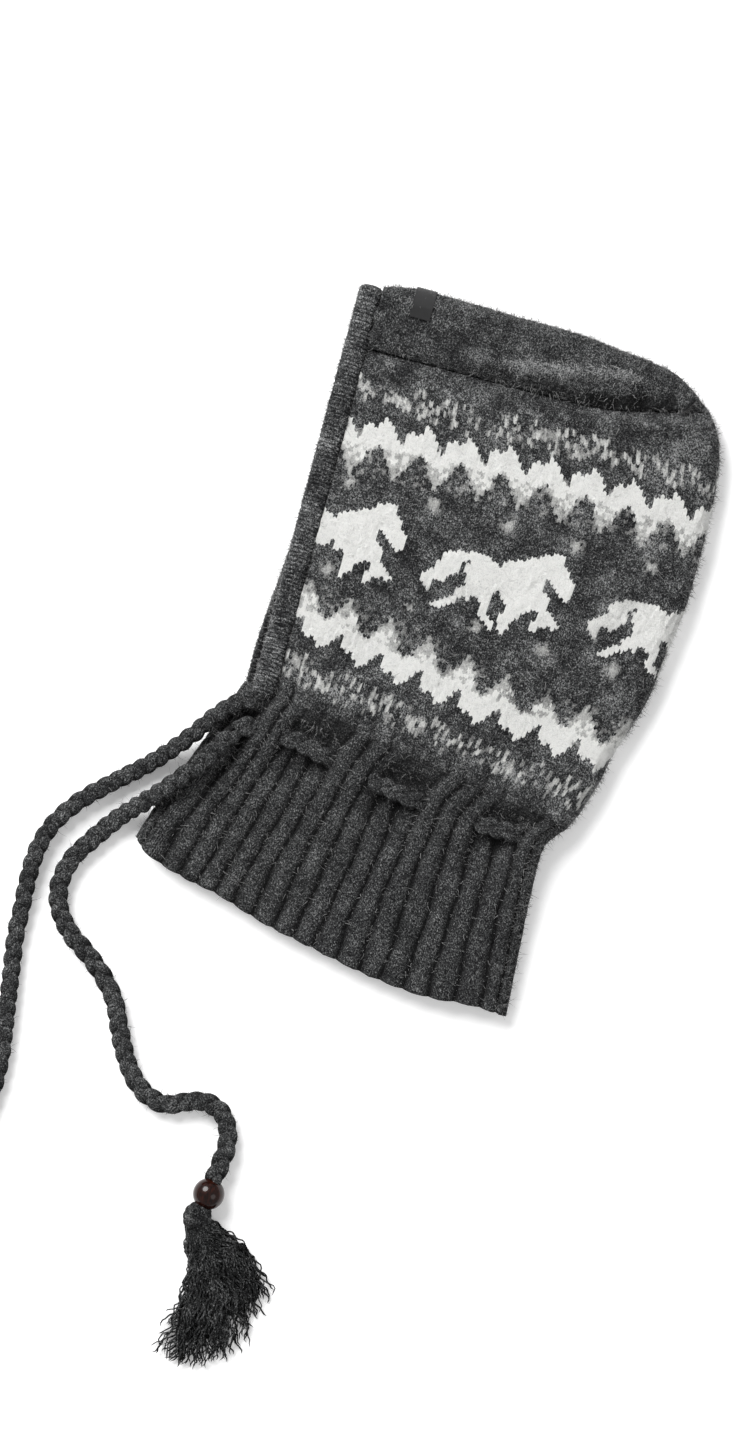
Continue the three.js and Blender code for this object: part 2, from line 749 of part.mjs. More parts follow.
// Tab: a thin strip that follows the crown's section from the near layer round the top fold.
function sideTab() {
  const share = (TAB_CENTRE - FACE_X) / (0.4442 * HOOD_DEPTH - FACE_X);
  const seam = crownPlan(share, 0);
  const rim = crownPlan(share, 1);
  const length = rim.y - seam.y;
  const bend = 1 - BODY_FOLD / length;
  const rimHeight = crownTop(share, bend);
  const line = (lift) => {
    const points = [];
    const flats = 4;
    for (let k = 0; k <= flats; k += 1) {
      const t = lerp(1 - TAB_LENGTH / length, bend, k / flats);
      points.push([lerp(seam.y, rim.y, t), crownTop(share, t) + lift]);
    }
    for (let k = 1; k <= 8; k += 1) {
      const angle = Math.PI * (0.5 - (0.8 * k) / 8);
      const y = rim.y - BODY_FOLD + (BODY_FOLD + lift) * Math.cos(angle);
      points.push([y, rimHeight / 2 + (rimHeight / 2 + lift) * Math.sin(angle)]);
    }
    return points;
  };
  const under = line(GAP);
  const over = line(GAP + TAB_THICKNESS);
  const ring = (x) => [...over, ...under.slice().reverse()].map(([y, z]) => [x, y, z]);
  return skin([ring(TAB_CENTRE - TAB_WIDTH / 2), ring(TAB_CENTRE + TAB_WIDTH / 2)]);
}

const wool = new THREE.MeshStandardMaterial({ color: 0x4a4a4b, roughness: 0.95, metalness: 0 });
const ribWool = new THREE.MeshStandardMaterial({ color: 0x3d3d3e, roughness: 0.95, metalness: 0 });
const patternWool = new THREE.MeshStandardMaterial({ color: 0x7c7c7c, roughness: 0.95, metalness: 0 });
const cordWool = new THREE.MeshStandardMaterial({ color: 0x414143, roughness: 0.95, metalness: 0 });
const darkWood = new THREE.MeshStandardMaterial({ color: 0x3a1a12, roughness: 0.25, metalness: 0 });
const tabSatin = new THREE.MeshStandardMaterial({ color: 0x17171a, roughness: 0.5, metalness: 0 });

const hood = new THREE.Group();

function place(name, geometry, material, parent = hood) {
  const mesh = new THREE.Mesh(geometry, material);
  mesh.name = name;
  parent.add(mesh);
}

const eyelets = toSolid(threadedCord(GAP));
place("hood_body", hoodBody(), patternWool);
place("crown_panel", crownPanel(), wool);
place("face_band", faceBand(), wool);
place("neck_rib", toGeometry(largestBody(toSolid(neckTube()).subtract(eyelets))), ribWool);
place("drawcord", threadedCord(0), cordWool);
place("side_tab", sideTab(), tabSatin);

for (const [side, end, route, locks, steps] of [
  ["near", END_NEAR, TAIL_NEAR_ROUTE, LOCKS_NEAR, 24],
  ["far", END_FAR, TAIL_FAR_ROUTE, LOCKS_FAR, 20],
]) {
  place("drawcord_tail_" + side, cordTail(route, steps), cordWool);
  const hanging = new THREE.Group();
  hanging.position.set(end.x, end.y, 0);
  hanging.rotation.z = THREE.MathUtils.degToRad(end.heading);
  hood.add(hanging);
  const turned = bead();
  turned.translate(0, 0, BEAD_DIAMETER / 2);
  place("bead_" + side, turned, darkWood, hanging);
  place("tassel_" + side, tassel(locks), cordWool, hanging);
}

export default hood;
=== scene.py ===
"""Dresses the knitted hood: knit body with its yarn pattern, crown, placket, ribbed neck, braided
drawcord, wooden beads, yarn tassels and a woven tab. Shapes are worked out in millimetres.
+X runs from the face to the back of the head, +Y from the hem to the crown, +Z up."""

import bmesh
import bpy
import numpy as np
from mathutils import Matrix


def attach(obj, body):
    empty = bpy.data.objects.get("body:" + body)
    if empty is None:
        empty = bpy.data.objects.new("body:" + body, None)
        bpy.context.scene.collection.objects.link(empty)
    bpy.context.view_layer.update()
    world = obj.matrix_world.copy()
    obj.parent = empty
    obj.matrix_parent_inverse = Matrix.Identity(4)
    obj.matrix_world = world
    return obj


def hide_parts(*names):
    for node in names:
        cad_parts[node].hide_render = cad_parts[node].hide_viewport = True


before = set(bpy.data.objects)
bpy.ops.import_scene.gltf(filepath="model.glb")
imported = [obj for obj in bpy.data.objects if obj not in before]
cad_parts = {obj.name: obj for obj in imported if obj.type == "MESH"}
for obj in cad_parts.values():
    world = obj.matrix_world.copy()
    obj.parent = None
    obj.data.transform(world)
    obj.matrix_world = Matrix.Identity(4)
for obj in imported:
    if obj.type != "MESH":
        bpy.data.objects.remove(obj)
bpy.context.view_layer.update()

MM = 0.001

# Sizes shared with the part's source
HOOD_LENGTH = 402.0
HOOD_DEPTH = 278.0
GAP = 0.3
SEAM_GAP = 0.5
BODY_HEIGHT = 24.0
BODY_FOLD = 11.0
CROWN_DROP = 43.5
CROWN_HEIGHT = 22.0
BAND_WIDTH = 13.0
BAND_THICKNESS = 7.0
BAND_SLIP = 5.0
RIB_THICKNESS = 4.7
NECK_FOLD = 10.0
HEM_HEIGHT = 16.0
CORD_FLAT = 6.0
CORD_ROOM = 0.7
PRESS = CORD_FLAT + 2 * CORD_ROOM
GATHER_HEIGHT = 2 * RIB_THICKNESS + 2 * CORD_FLAT + 4 * CORD_ROOM
BEAD_DIAMETER = 18.6
BEAD_BORE = 6.4
TASSEL_HEAD_LENGTH = 17.0
TASSEL_SKIRT = 82.0
TAB_WIDTH = 12.2
TAB_LENGTH = 18.0
TAB_THICKNESS = 0.8
TAB_CENTRE = -0.2025 * HOOD_DEPTH
FACE_X = -0.2925 * HOOD_DEPTH
CROWN_SEAM_Y = HOOD_LENGTH / 2 - CROWN_DROP
CROWN_TIP = 0.976
TOP_TUCK = 2.4
CORNER_TUCK = 1.2

# Steps of the neck's ribs on one layer, ridges on the even ones, and where a share of them lies
RIB_STEPS = 32
RIB_PLACES = [(0, 0), (0.031, 0.053), (0.219, 0.213), (0.344, 0.325), (0.531, 0.51), (0.75, 0.732),
              (0.969, 0.969), (1, 1)]
RIM_STEPS = 8
# Share of the neck's seam that lies round the fold at each end, outside the ribs' steps
NECK_ROUND = 0.048

# Outlines: shares of the hood's depth and length from its middle
TOP_OUTLINE = [(-0.2925, 0.4955), (-0.2428, 0.4972), (-0.1043, 0.4965), (0.0, 0.495), (0.1367, 0.494),
               (0.2158, 0.4876), (0.3525, 0.4726), (0.4245, 0.4428), (0.4442, 0.4323)]
BACK_OUTLINE = [(0.3759, -0.209), (0.3921, -0.1841), (0.4173, -0.1318), (0.4317, -0.0821),
                (0.4586, -0.0299), (0.4748, 0.0174), (0.4856, 0.0846), (0.4964, 0.1368), (0.5, 0.1915),
                (0.4978, 0.2985), (0.4892, 0.3582), (0.4676, 0.4067), (0.4442, 0.4316)]
CROWN_SEAM = [(-0.2925, 0.0), (-0.1, 0.0), (0.08, 0.004), (0.2, 0.025), (0.285, 0.11), (0.3597, 0.235),
              (0.4281, 0.345), (0.4442, 0.3685)]
NECK_FRONT = [(-0.3615, -0.1219), (-0.3849, -0.1642), (-0.4065, -0.2065), (-0.4353, -0.2587),
              (-0.4568, -0.2935), (-0.482, -0.3433), (-0.5, -0.3831)]
NECK_BACK = [(0.3759, -0.21), (0.3417, -0.2413), (0.3381, -0.2761), (0.3417, -0.3408),
             (0.3489, -0.4204), (0.3561, -0.4975)]
HEM = [(-0.5, -0.3831), (-0.4676, -0.403), (-0.3669, -0.4254), (-0.3094, -0.4328), (-0.1906, -0.4577),
       (-0.0719, -0.4751), (0.036, -0.49), (0.1727, -0.5), (0.277, -0.495), (0.3561, -0.4975)]
BODY_RISE = [(0, 0.9), (0.1, 0.97), (0.3, 0.93), (0.5, 0.98), (0.72, 0.94), (0.9, 1), (1, 0.8)]
BODY_REACH = [(0, 0.86), (0.12, 0.95), (0.45, 1), (0.8, 0.96), (1, 0.88)]
CROWN_REACH = [(0, 0.84), (0.22, 1), (0.6, 0.97), (1, 0.9)]
NECK_DROP = [(0, 0.95), (0.14, 1), (0.36, 0.86), (0.65, 0.75), (1, HEM_HEIGHT / GATHER_HEIGHT)]
# Soft folds pressed into the near layer: from x, y to x, y in shares of the hood's depth and length, depth
# as a share of the body's height, width as a share of the hood's length
BODY_FOLDS = [(0.16, 0.342, 0.37, 0.362, 0.12, 0.026), (0.02, -0.14, 0.08, -0.02, 0.09, 0.035),
              (-0.2, -0.12, -0.13, -0.05, 0.09, 0.03), (0.25, -0.19, 0.3, -0.06, 0.1, 0.035)]
# Creases, or ridges where the depth is negative: from x, y to x, y, depth, width, all in mm
BODY_CREASES = [(-72, 142, -58, 143, 2.6, 5), (-30, 150.5, 50, 152, 0.8, 6), (74, 153, 111, 162, -2.4, 4),
                (-40, 20, 30, 40, 0.9, 9), (60, -20, 110, 60, 1.1, 10)]
CROWN_CREASES = [(-7, 159.2, 30, 159.8, 1.2, 2.0), (30, 159.8, 66, 161.8, 2.6, 3.2),
                 (2, 162.6, 34, 165, 1.9, 1.7), (34, 165, 60, 164.8, 1.9, 2.4),
                 (58, 163.8, 82, 169, 3.8, 4.8), (82, 169, 100, 172.6, 2.8, 4.4),
                 (-21, 167, 14, 171.6, -2.0, 4), (14, 171.6, 72, 182, -3.4, 5), (72, 182, 97, 182.7, -2.4, 4),
                 (-70, 172, -30, 178, 0.9, 7)]
# How far the walls roll in at the crown's seam, near the face and behind
BODY_SEAM_ROLL = (2.0, 4.2)
CROWN_SEAM_ROLL = (1.4, 4.4)
# Furrows that run up from the neck's ribs into the body, how far a float flattens them, and how far
# the body's edge tucks in under the neck's height
GATHER_DEPTH = 2.6
FLATTENED = 0.8
NECK_TUCK = 0.6
# Where the cord lies outside the near layer and the far layer, as shares of the neck's seam, the ease
# at each end of a float, and the cord's line below the seam with its sag
NEAR_FLOATS = [(-1, 0.1), (0.187, 0.338), (0.475, 0.626), (0.798, 0.915)]
FAR_FLOATS = [(0.338, 0.475), (0.626, 0.798)]
FLOAT_RAMP = 0.028
CORD_DROP = 0.12
CORD_SAG = 0.06

TAIL_NEAR_ROUTE = [
    (-97.5, -79, 23.4), (-102, -85.5, 24.8), (-109.5, -98, 26), (-122.5, -114.5, 24.8),
    (-137.5, -131.5, 16), (-151, -145.5, 6.6), (-163, -162, 6.2), (-172, -177, 6.2), (-175, -193, 6.2),
    (-171.5, -206.5, 6.2), (-161.5, -219, 6.2), (-149, -228, 6.2), (-136, -239, 6.2),
    (-126, -251, 6.2), (-119, -266, 6.2), (-110, -283, 6.2), (-101, -294, 6.2), (-92, -300, 6.2),
    (-81, -302, 6.2), (-70, -297.5, 6.2), (-59, -294.5, 6.2), (-48.5, -298, 6.2), (-42.5, -306, 6.2),
    (-40, -317, 7), (-41, -328, 8.6), (-42.1, -336.2, 9.3)]
TAIL_FAR_ROUTE = [
    (-98.5, -61.2, 23.2), (-103.5, -64.6, 23.4), (-111, -72.5, 21), (-124, -90, 13.5),
    (-141, -109.5, 6.6), (-161, -127.5, 6.2), (-176.5, -142.5, 6.2), (-188, -160, 6.2),
    (-193, -176.5, 6.2), (-194, -195, 6.2), (-193, -212, 6.2), (-192, -230, 6.2), (-189, -252, 6.2),
    (-185.5, -276, 6.2), (-182, -299, 6.2), (-181.5, -316, 6.2), (-184, -335, 6.2),
    (-188, -354, 6.2), (-191.5, -373, 7.2), (-194.6, -390.8, 9.3)]
# Where each bead's centre lies, and the heading of its tassel in degrees
END_NEAR = (-43.0, -346.0, 169.0)
END_FAR = (-196.2, -400.6, 170.0)
# Strands of a skirt: heading at the head and at the tip in degrees from the head's axis, and length
# as a share of the skirt
SKIRT_FAN = [(30, -18, 1.0), (31, -8, 1.02), (33, 6, 1.04), (38, 16, 1.05), (44, 22, 1.03), (50, 26, 0.97),
             (59, 29, 0.89), (71, 32, 0.82), (84, 35, 0.81), (95, 37, 0.83)]

# Curves, tables and patches


def lerp(a, b, share):
    return a + (b - a) * share


def smooth(low, high, value):
    """An eased step: 0 below low, 1 above high, 3h² − 2h³ between."""
    share = np.clip((value - low) / (high - low), 0, 1)
    return share * share * (3 - 2 * share)


def read_table(table, value):
    """A table's second column at a value of its first, eased from row to row."""
    keys, column = np.array(table, float).T
    row = np.clip(np.searchsorted(keys, value), 1, len(keys) - 1)
    return lerp(column[row - 1], column[row], smooth(keys[row - 1], keys[row], value))


class Curve:
    """A centripetal Catmull-Rom curve through points, read by its share of arc length."""

    def __init__(self, points, samples=60):
        """Each span is the cubic through its ends whose slopes divide each step by the root of its length."""
        p = np.asarray(points, float)
        p = np.vstack([2 * p[0] - p[1], p, 2 * p[-1] - p[-2]])
        root = np.linalg.norm(np.diff(p, axis=0), axis=1) ** 0.5
        u = np.linspace(0, 1, samples, endpoint=False)[:, None]
        spans = []
        for k in range(1, len(p) - 2):
            before, here, after = root[k - 1 : k + 2]
            step = (p[k + 1] - p[k]) / here
            leave = (p[k] - p[k - 1]) / before - (p[k + 1] - p[k - 1]) / (before + here) + step
            reach = step - (p[k + 2] - p[k]) / (here + after) + (p[k + 2] - p[k + 1]) / after
            rise = (2 * u**3 - 3 * u**2 + 1) * p[k] + (3 * u**2 - 2 * u**3) * p[k + 1]
            spans.append(rise + ((u**3 - 2 * u**2 + u) * leave + (u**3 - u**2) * reach) * here)
        self.points = np.vstack([*spans, p[-2]])
        walked = np.cumsum(np.linalg.norm(np.diff(self.points, axis=0), axis=1))
        self.length = walked[-1]
        self.shares = np.concatenate([[0], walked]) / self.length

    def at(self, share):
        return np.stack([np.interp(share, self.shares, axis) for axis in self.points.T], -1)


def outline(table):
    return Curve(np.array(table, float) * (HOOD_DEPTH, HOOD_LENGTH))


def coons(start, end, left, right):
    """Blends four border curves: the two rules' sum less the bilinear patch of the corners."""
    corners = [side(np.array(v, float)) for v in (0, 1) for side in (left, right)]

    def patch(s, t):
        s, t = np.broadcast_arrays(np.asarray(s, float), np.asarray(t, float))
        across, along = s[..., None], t[..., None]
        ruled = lerp(start(t), end(t), across) + lerp(left(s), right(s), along)
        low = lerp(corners[0], corners[1], along)
        return ruled - lerp(low, lerp(corners[2], corners[3], along), across)

    return patch


def pair(x, y):
    return np.stack(np.broadcast_arrays(x, y), -1)


def ripple(x, y, size, seed):
    """A wavy height of about ±1: six sine waves of that size in mm in seeded directions."""
    rng = np.random.default_rng(seed)
    total = 0
    for _ in range(6):
        turn, phase = rng.uniform(0, 2 * np.pi, 2)
        wave = 2 * np.pi / (size * rng.uniform(0.7, 1.5))
        total = total + np.sin(wave * (x * np.cos(turn) + y * np.sin(turn)) + phase)
    return total / 3


SEAM_FRONT = np.array(NECK_FRONT[0]) * (HOOD_DEPTH, HOOD_LENGTH)
SEAM_BACK = np.array(NECK_BACK[0]) * (HOOD_DEPTH, HOOD_LENGTH)


def seam_share(x):
    """Share of the neck's seam, 0 at the front and 1 at the back, of a place across it."""
    return (x - SEAM_FRONT[0]) / (SEAM_BACK[0] - SEAM_FRONT[0])


def neck_seam_y(x):
    return lerp(SEAM_FRONT[1], SEAM_BACK[1], seam_share(x))


crown_seam = Curve([(x * HOOD_DEPTH, CROWN_SEAM_Y + rise * CROWN_DROP) for x, rise in CROWN_SEAM])
back_curve, top_curve, hem_curve = outline(BACK_OUTLINE), outline(TOP_OUTLINE), outline(HEM)
neck_front, neck_back = outline(NECK_FRONT), outline(NECK_BACK)


def body_seam(t):
    x = lerp(FACE_X, SEAM_BACK[0], t)
    return pair(x, neck_seam_y(x) + GAP)


body_plan = coons(body_seam, crown_seam.at,
                  lambda s: pair(FACE_X, lerp(neck_seam_y(FACE_X) + GAP, CROWN_SEAM_Y, s)), back_curve.at)
neck_plan = coons(lambda t: pair(lerp(SEAM_FRONT[0], SEAM_BACK[0], t), lerp(SEAM_FRONT[1], SEAM_BACK[1], t)),
                  hem_curve.at, neck_front.at, neck_back.at)


def crown_plan(s, t):
    """Straight sections from a place on the seam to the place of the same share on the top fold,
    which the placket holds a little lower at the face."""
    s, t = np.broadcast_arrays(np.asarray(s, float), np.asarray(t, float))
    seam, rim = crown_seam.at(CROWN_TIP * s) + (0, SEAM_GAP), top_curve.at(s)
    rim = rim - pair(0 * s, TOP_TUCK * (1 - smooth(0, 0.12, s)) + CORNER_TUCK * (1 - smooth(0, 0.02, s)))
    return lerp(seam, rim, t[..., None])


def crease_depth(place, creases):
    """Sum of depth · exp(−(distance from the crease's line / width)²)."""
    depth = 0
    for x1, y1, x2, y2, deep, wide in creases:
        start, run = np.array((x1, y1), float), np.array((x2 - x1, y2 - y1), float)
        away = place - start
        share = np.clip(away @ run / (run @ run), 0, 1)
        depth = depth + deep * np.exp(-((np.linalg.norm(away - share[..., None] * run, axis=-1) / wide) ** 2))
    return depth


FOLD_UNITS = np.array((HOOD_DEPTH, HOOD_LENGTH, HOOD_DEPTH, HOOD_LENGTH, BODY_HEIGHT, HOOD_LENGTH))
BODY_PRESSED = [*(np.array(BODY_FOLDS) * FOLD_UNITS), *BODY_CREASES]


def rib_shape(u):
    """1 on a ridge, 0 in a furrow, with a round top and a narrow furrow: |cos(πu/2)|^0.65."""
    return np.abs(np.cos(np.pi * u / 2)) ** 0.65


def rib_place(step):
    share, place = np.array(RIB_PLACES, float).T
    return np.interp(step / RIB_STEPS, share, place)


def rib_step(t):
    """The inverse of rib_place, for a place across the neck's seam."""
    share, place = np.array(RIB_PLACES, float).T
    return RIB_STEPS * np.interp((t - NECK_ROUND) / (1 - 2 * NECK_ROUND), place, share)


def cord_line(t):
    return CORD_DROP + CORD_SAG * np.sin(np.pi * np.clip(t, 0, 1))


def float_share(floats, t):
    """1 where the cord lies outside the wall, eased to 0 at both ends of each float."""
    total = 0
    for start, end in floats:
        on = smooth(start - FLOAT_RAMP, start + FLOAT_RAMP, t)
        total = total + on * (1 - smooth(end - FLOAT_RAMP, end + FLOAT_RAMP, t))
    return total


def press_share(floats, s, t):
    """How far a float presses the wall in: full under the cord, fading upwards and further down."""
    away = s - cord_line(t)
    spread = np.where(t < 0.12, 0.22, 0.07)
    fade = np.where(away < 0, smooth(-spread - 0.06, -spread, away), 1 - smooth(spread, spread + 0.24, away))
    return float_share(floats, t) * fade


def neck_top(s, t):
    return GATHER_HEIGHT * read_table(NECK_DROP, s) - PRESS * press_share(NEAR_FLOATS, s, t)


def body_top(s, t):
    """Table height less the soft folds, plus a ripple, eased into the gathers at the neck seam and
    rolled in at the crown seam."""
    place = body_plan(s, t)
    height = BODY_HEIGHT * read_table(BODY_RISE, s) * read_table(BODY_REACH, t)
    x, y = place[..., 0], place[..., 1]
    height = height + (0.7 * ripple(x, y, 48, 11) + 0.3 * ripple(x, y, 17, 13)) * smooth(0, 0.1, s)
    height = height - crease_depth(place, BODY_PRESSED)
    neck_t = np.clip(seam_share(x), 0, 1)
    ribs = GATHER_DEPTH * (1 - rib_shape(rib_step(neck_t))) * (1 - smooth(0.01, 0.13, s))
    ribs = ribs * (1 - FLATTENED * float_share(NEAR_FLOATS, neck_t))
    gathered = neck_top(0 * s, neck_t) - NECK_TUCK
    height = lerp(gathered, height, smooth(0, 0.1, s)) - ribs
    return height - lerp(*BODY_SEAM_ROLL, smooth(0.15, 0.6, t)) * smooth(0.965, 1, s)


def crown_top(s, t):
    """Table height, lower at the back, rolled in at the seam."""
    back = lerp(1, 0.86, smooth(0.75, 1, s))
    height = CROWN_HEIGHT * back * read_table(CROWN_REACH, t)
    place = crown_plan(s, t)
    height = height - crease_depth(place, CROWN_CREASES) + 0.5 * ripple(place[..., 0], place[..., 1], 40, 12)
    return height - lerp(*CROWN_SEAM_ROLL, smooth(0.15, 0.6, s)) * (1 - smooth(0, lerp(0.06, 0.14, s), t))


# Meshes


def add_piece(name, points, faces, uv=None, value=None, weld=False, replaces=()):
    """A mesh of those points in mm. uv and value hold two numbers and one number per face corner. All
    faces are turned round where they enclose a negative volume: a sum of corner · (corner × corner)."""
    corner = points[faces] - points.mean(axis=0)
    if (corner[:, 0] * np.cross(corner[:, 1], corner[:, 2])).sum() < 0:
        faces = faces[:, ::-1]
        uv = None if uv is None else np.asarray(uv).reshape(*faces.shape, 2)[:, ::-1]
        value = None if value is None else np.asarray(value).reshape(faces.shape)[:, ::-1]
    mesh = bpy.data.meshes.new(name)
    mesh.vertices.add(len(points))
    mesh.vertices.foreach_set("co", (np.asarray(points, float) * MM).ravel())
    count, corners = faces.shape
    mesh.loops.add(count * corners)
    mesh.loops.foreach_set("vertex_index", faces.ravel().astype(np.int32))
    mesh.polygons.add(count)
    mesh.polygons.foreach_set("loop_start", np.arange(0, count * corners, corners, dtype=np.int32))
    mesh.polygons.foreach_set("use_smooth", np.ones(count, bool))
    mesh.update(calc_edges=True)
    if uv is not None:
        mesh.uv_layers.new(name="yarns").data.foreach_set("uv", np.asarray(uv, np.float32).ravel())
    if value is not None:
        held = mesh.attributes.new("shade", "FLOAT", "CORNER")
        held.data.foreach_set("value", np.asarray(value, np.float32).ravel())
    if weld:
        work = bmesh.new()
        work.from_mesh(mesh)
        bmesh.ops.remove_doubles(work, verts=work.verts, dist=1e-6)
        work.to_mesh(mesh)
        work.free()
    mesh.validate()
    piece = bpy.data.objects.new(name, mesh)
    bpy.context.scene.collection.objects.link(piece)
    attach(piece, "root")
    if replaces:
        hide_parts(*replaces)
    return piece


def grid_faces(rows, cols, closed_rows=False, closed_cols=False):
    """Corner indices of a grid's quads, into the points and into an unwrapped grid of the same quads."""
    row, col = np.meshgrid(np.arange(rows - 1 + closed_rows), np.arange(cols - 1 + closed_cols), indexing="ij")
    row, col = row.ravel()[:, None] + (0, 0, 1, 1), col.ravel()[:, None] + (0, 1, 1, 0)
    flat = row * (cols + closed_cols) + col
    return (row % rows) * cols + col % cols, flat


def tubes(centres, radii, sides, up):
    """Round tubes along rows of centres: ring points are centre + r·(cos a·side + sin a·lift), where
    side is across the tangent and the given up, and lift is across both."""
    tangent = np.gradient(centres, axis=1)
    tangent /= np.linalg.norm(tangent, axis=-1, keepdims=True) + 1e-12
    side = np.cross(tangent, up)
    side /= np.linalg.norm(side, axis=-1, keepdims=True) + 1e-12
    lift = np.cross(side, tangent)
    angle = 2 * np.pi * np.arange(sides) / sides
    ring = np.cos(angle)[:, None] * side[:, :, None] + np.sin(angle)[:, None] * lift[:, :, None]
    points = centres[:, :, None] + radii[..., None, None] * ring
    strands, steps = centres.shape[:2]
    faces, flat = grid_faces(steps, sides, closed_cols=True)
    first = (np.arange(strands) * steps * sides)[:, None, None]
    v, u = np.divmod(flat, sides + 1)
    uv = np.stack([u / sides, v / (steps - 1)], -1)
    return points.reshape(-1, 3), (faces + first).reshape(-1, 4), np.tile(uv, (strands, 1, 1))


def give(piece, material):
    piece.data.materials.append(material)
    return piece


# Shader maths


class Value:
    """A shader output. Arithmetic on it adds Math nodes."""

    def __init__(self, paint, socket):
        self.paint, self.socket = paint, socket

    def _math(self, operation, *numbers):
        return self.paint.node("ShaderNodeMath", {"operation": operation}, dict(enumerate(numbers)))

    def __add__(self, other):
        return self._math("ADD", self, other)

    def __sub__(self, other):
        return self._math("SUBTRACT", self, other)

    def __rsub__(self, other):
        return self._math("SUBTRACT", other, self)

    def __mul__(self, other):
        return self._math("MULTIPLY", self, other)

    def __pow__(self, other):
        return self._math("POWER", self, other)

    __radd__, __rmul__ = __add__, __mul__

    def fraction(self):
        return self._math("FRACT", self)

    def size(self):
        return self._math("ABSOLUTE", self)

    def wave(self):
        """sin(2π · value)."""
        return self._math("SINE", self * (2 * np.pi))

    def eased(self, low, high):
        return self.paint.node("ShaderNodeMapRange", {"interpolation_type": "SMOOTHSTEP"},
                               {"Value": self, "From Min": low, "From Max": high})


class Paint:
    """One material, built node by node."""

    def __init__(self, name):
        self.material = bpy.data.materials.new(name)
        self.material.use_nodes = True
        self.tree = self.material.node_tree
        self.tree.nodes.clear()

    def node(self, kind, settings=None, sockets=None, output=0):
        """Adds a node, with its settings and then its sockets: a Value is linked, a number is set."""
        made = self.tree.nodes.new(kind)
        for key, setting in (settings or {}).items():
            setattr(made, key, setting)
        for key, given in (sockets or {}).items():
            if isinstance(given, Value):
                self.tree.links.new(given.socket, made.inputs[key])
            else:
                made.inputs[key].default_value = given
        return Value(self, made.outputs[output] if made.outputs else None)

    def noise(self, scale, detail, roughness, stretch=(1, 1, 1)):
        place = self.node("ShaderNodeTexCoord", output="Object")
        if stretch != (1, 1, 1):
            place = self.node("ShaderNodeMapping", None, {"Vector": place, "Scale": stretch})
        return self.node("ShaderNodeTexNoise", None, {"Vector": place, "Scale": scale, "Detail": detail,
                                                      "Roughness": roughness})

    def mix(self, factor, first, second):
        sockets = {0: factor, 6: first if isinstance(first, Value) else (*first, 1),
                   7: second if isinstance(second, Value) else (*second, 1)}
        return self.node("ShaderNodeMix", {"data_type": "RGBA"}, sockets, output=2)

    def shade(self):
        """The piece's own shade attribute: white yarn, or painted light on plain wool, above 0, painted shade
        of hollows below.
        """
        return self.node("ShaderNodeAttribute", {"attribute_name": "shade"}, output="Fac")

    def yarns(self):
        """The two numbers of the piece's own map."""
        uv = self.node("ShaderNodeUVMap", {"uv_map": "yarns"})
        split = self.node("ShaderNodeSeparateXYZ", None, {0: uv})
        return split, Value(self, split.socket.node.outputs[1])

    def finish(self, colour, roughness, height, distance, **fixed):
        bump = self.node("ShaderNodeBump", None, {"Height": height, "Distance": distance, "Strength": 1.0})
        sockets = {"Base Color": colour, "Roughness": roughness, "Normal": bump}
        sockets.update({key.replace("_", " "): given for key, given in fixed.items()})
        shader = self.node("ShaderNodeBsdfPrincipled", None, sockets)
        self.node("ShaderNodeOutputMaterial", None, {"Surface": shader})
        return self.material


DARK_FIBRE = (0.006, 0.006, 0.007)
CHARCOAL = (0.066, 0.068, 0.069)
LIGHT_FIBRE = (0.40, 0.405, 0.405)
OFF_WHITE = (0.90, 0.90, 0.875)
SHADED_WHITE = (0.66, 0.665, 0.65)
GREY_HAIR = (0.05, 0.05, 0.052)
WHITE_HAIR = (0.75, 0.75, 0.74)
WOOD_GRAIN = (0.0024, 0.0006, 0.0004)
RED_BROWN = (0.032, 0.0062, 0.0026)
SATIN_SHADE = (0.006, 0.006, 0.006)
SATIN_GLEAM = (0.030, 0.030, 0.031)


def stitch_height(u, v):
    """Two round legs to a stitch, leaning apart upwards, each as long as one row."""
    across = (u.fraction() * 2 - 1).size()
    leg = ((u * 2).wave().size()) ** 0.6
    along = ((v - across * 0.55) * 0.5).wave().size() ** 0.5
    return leg * 0.6 + along * 0.4 * leg


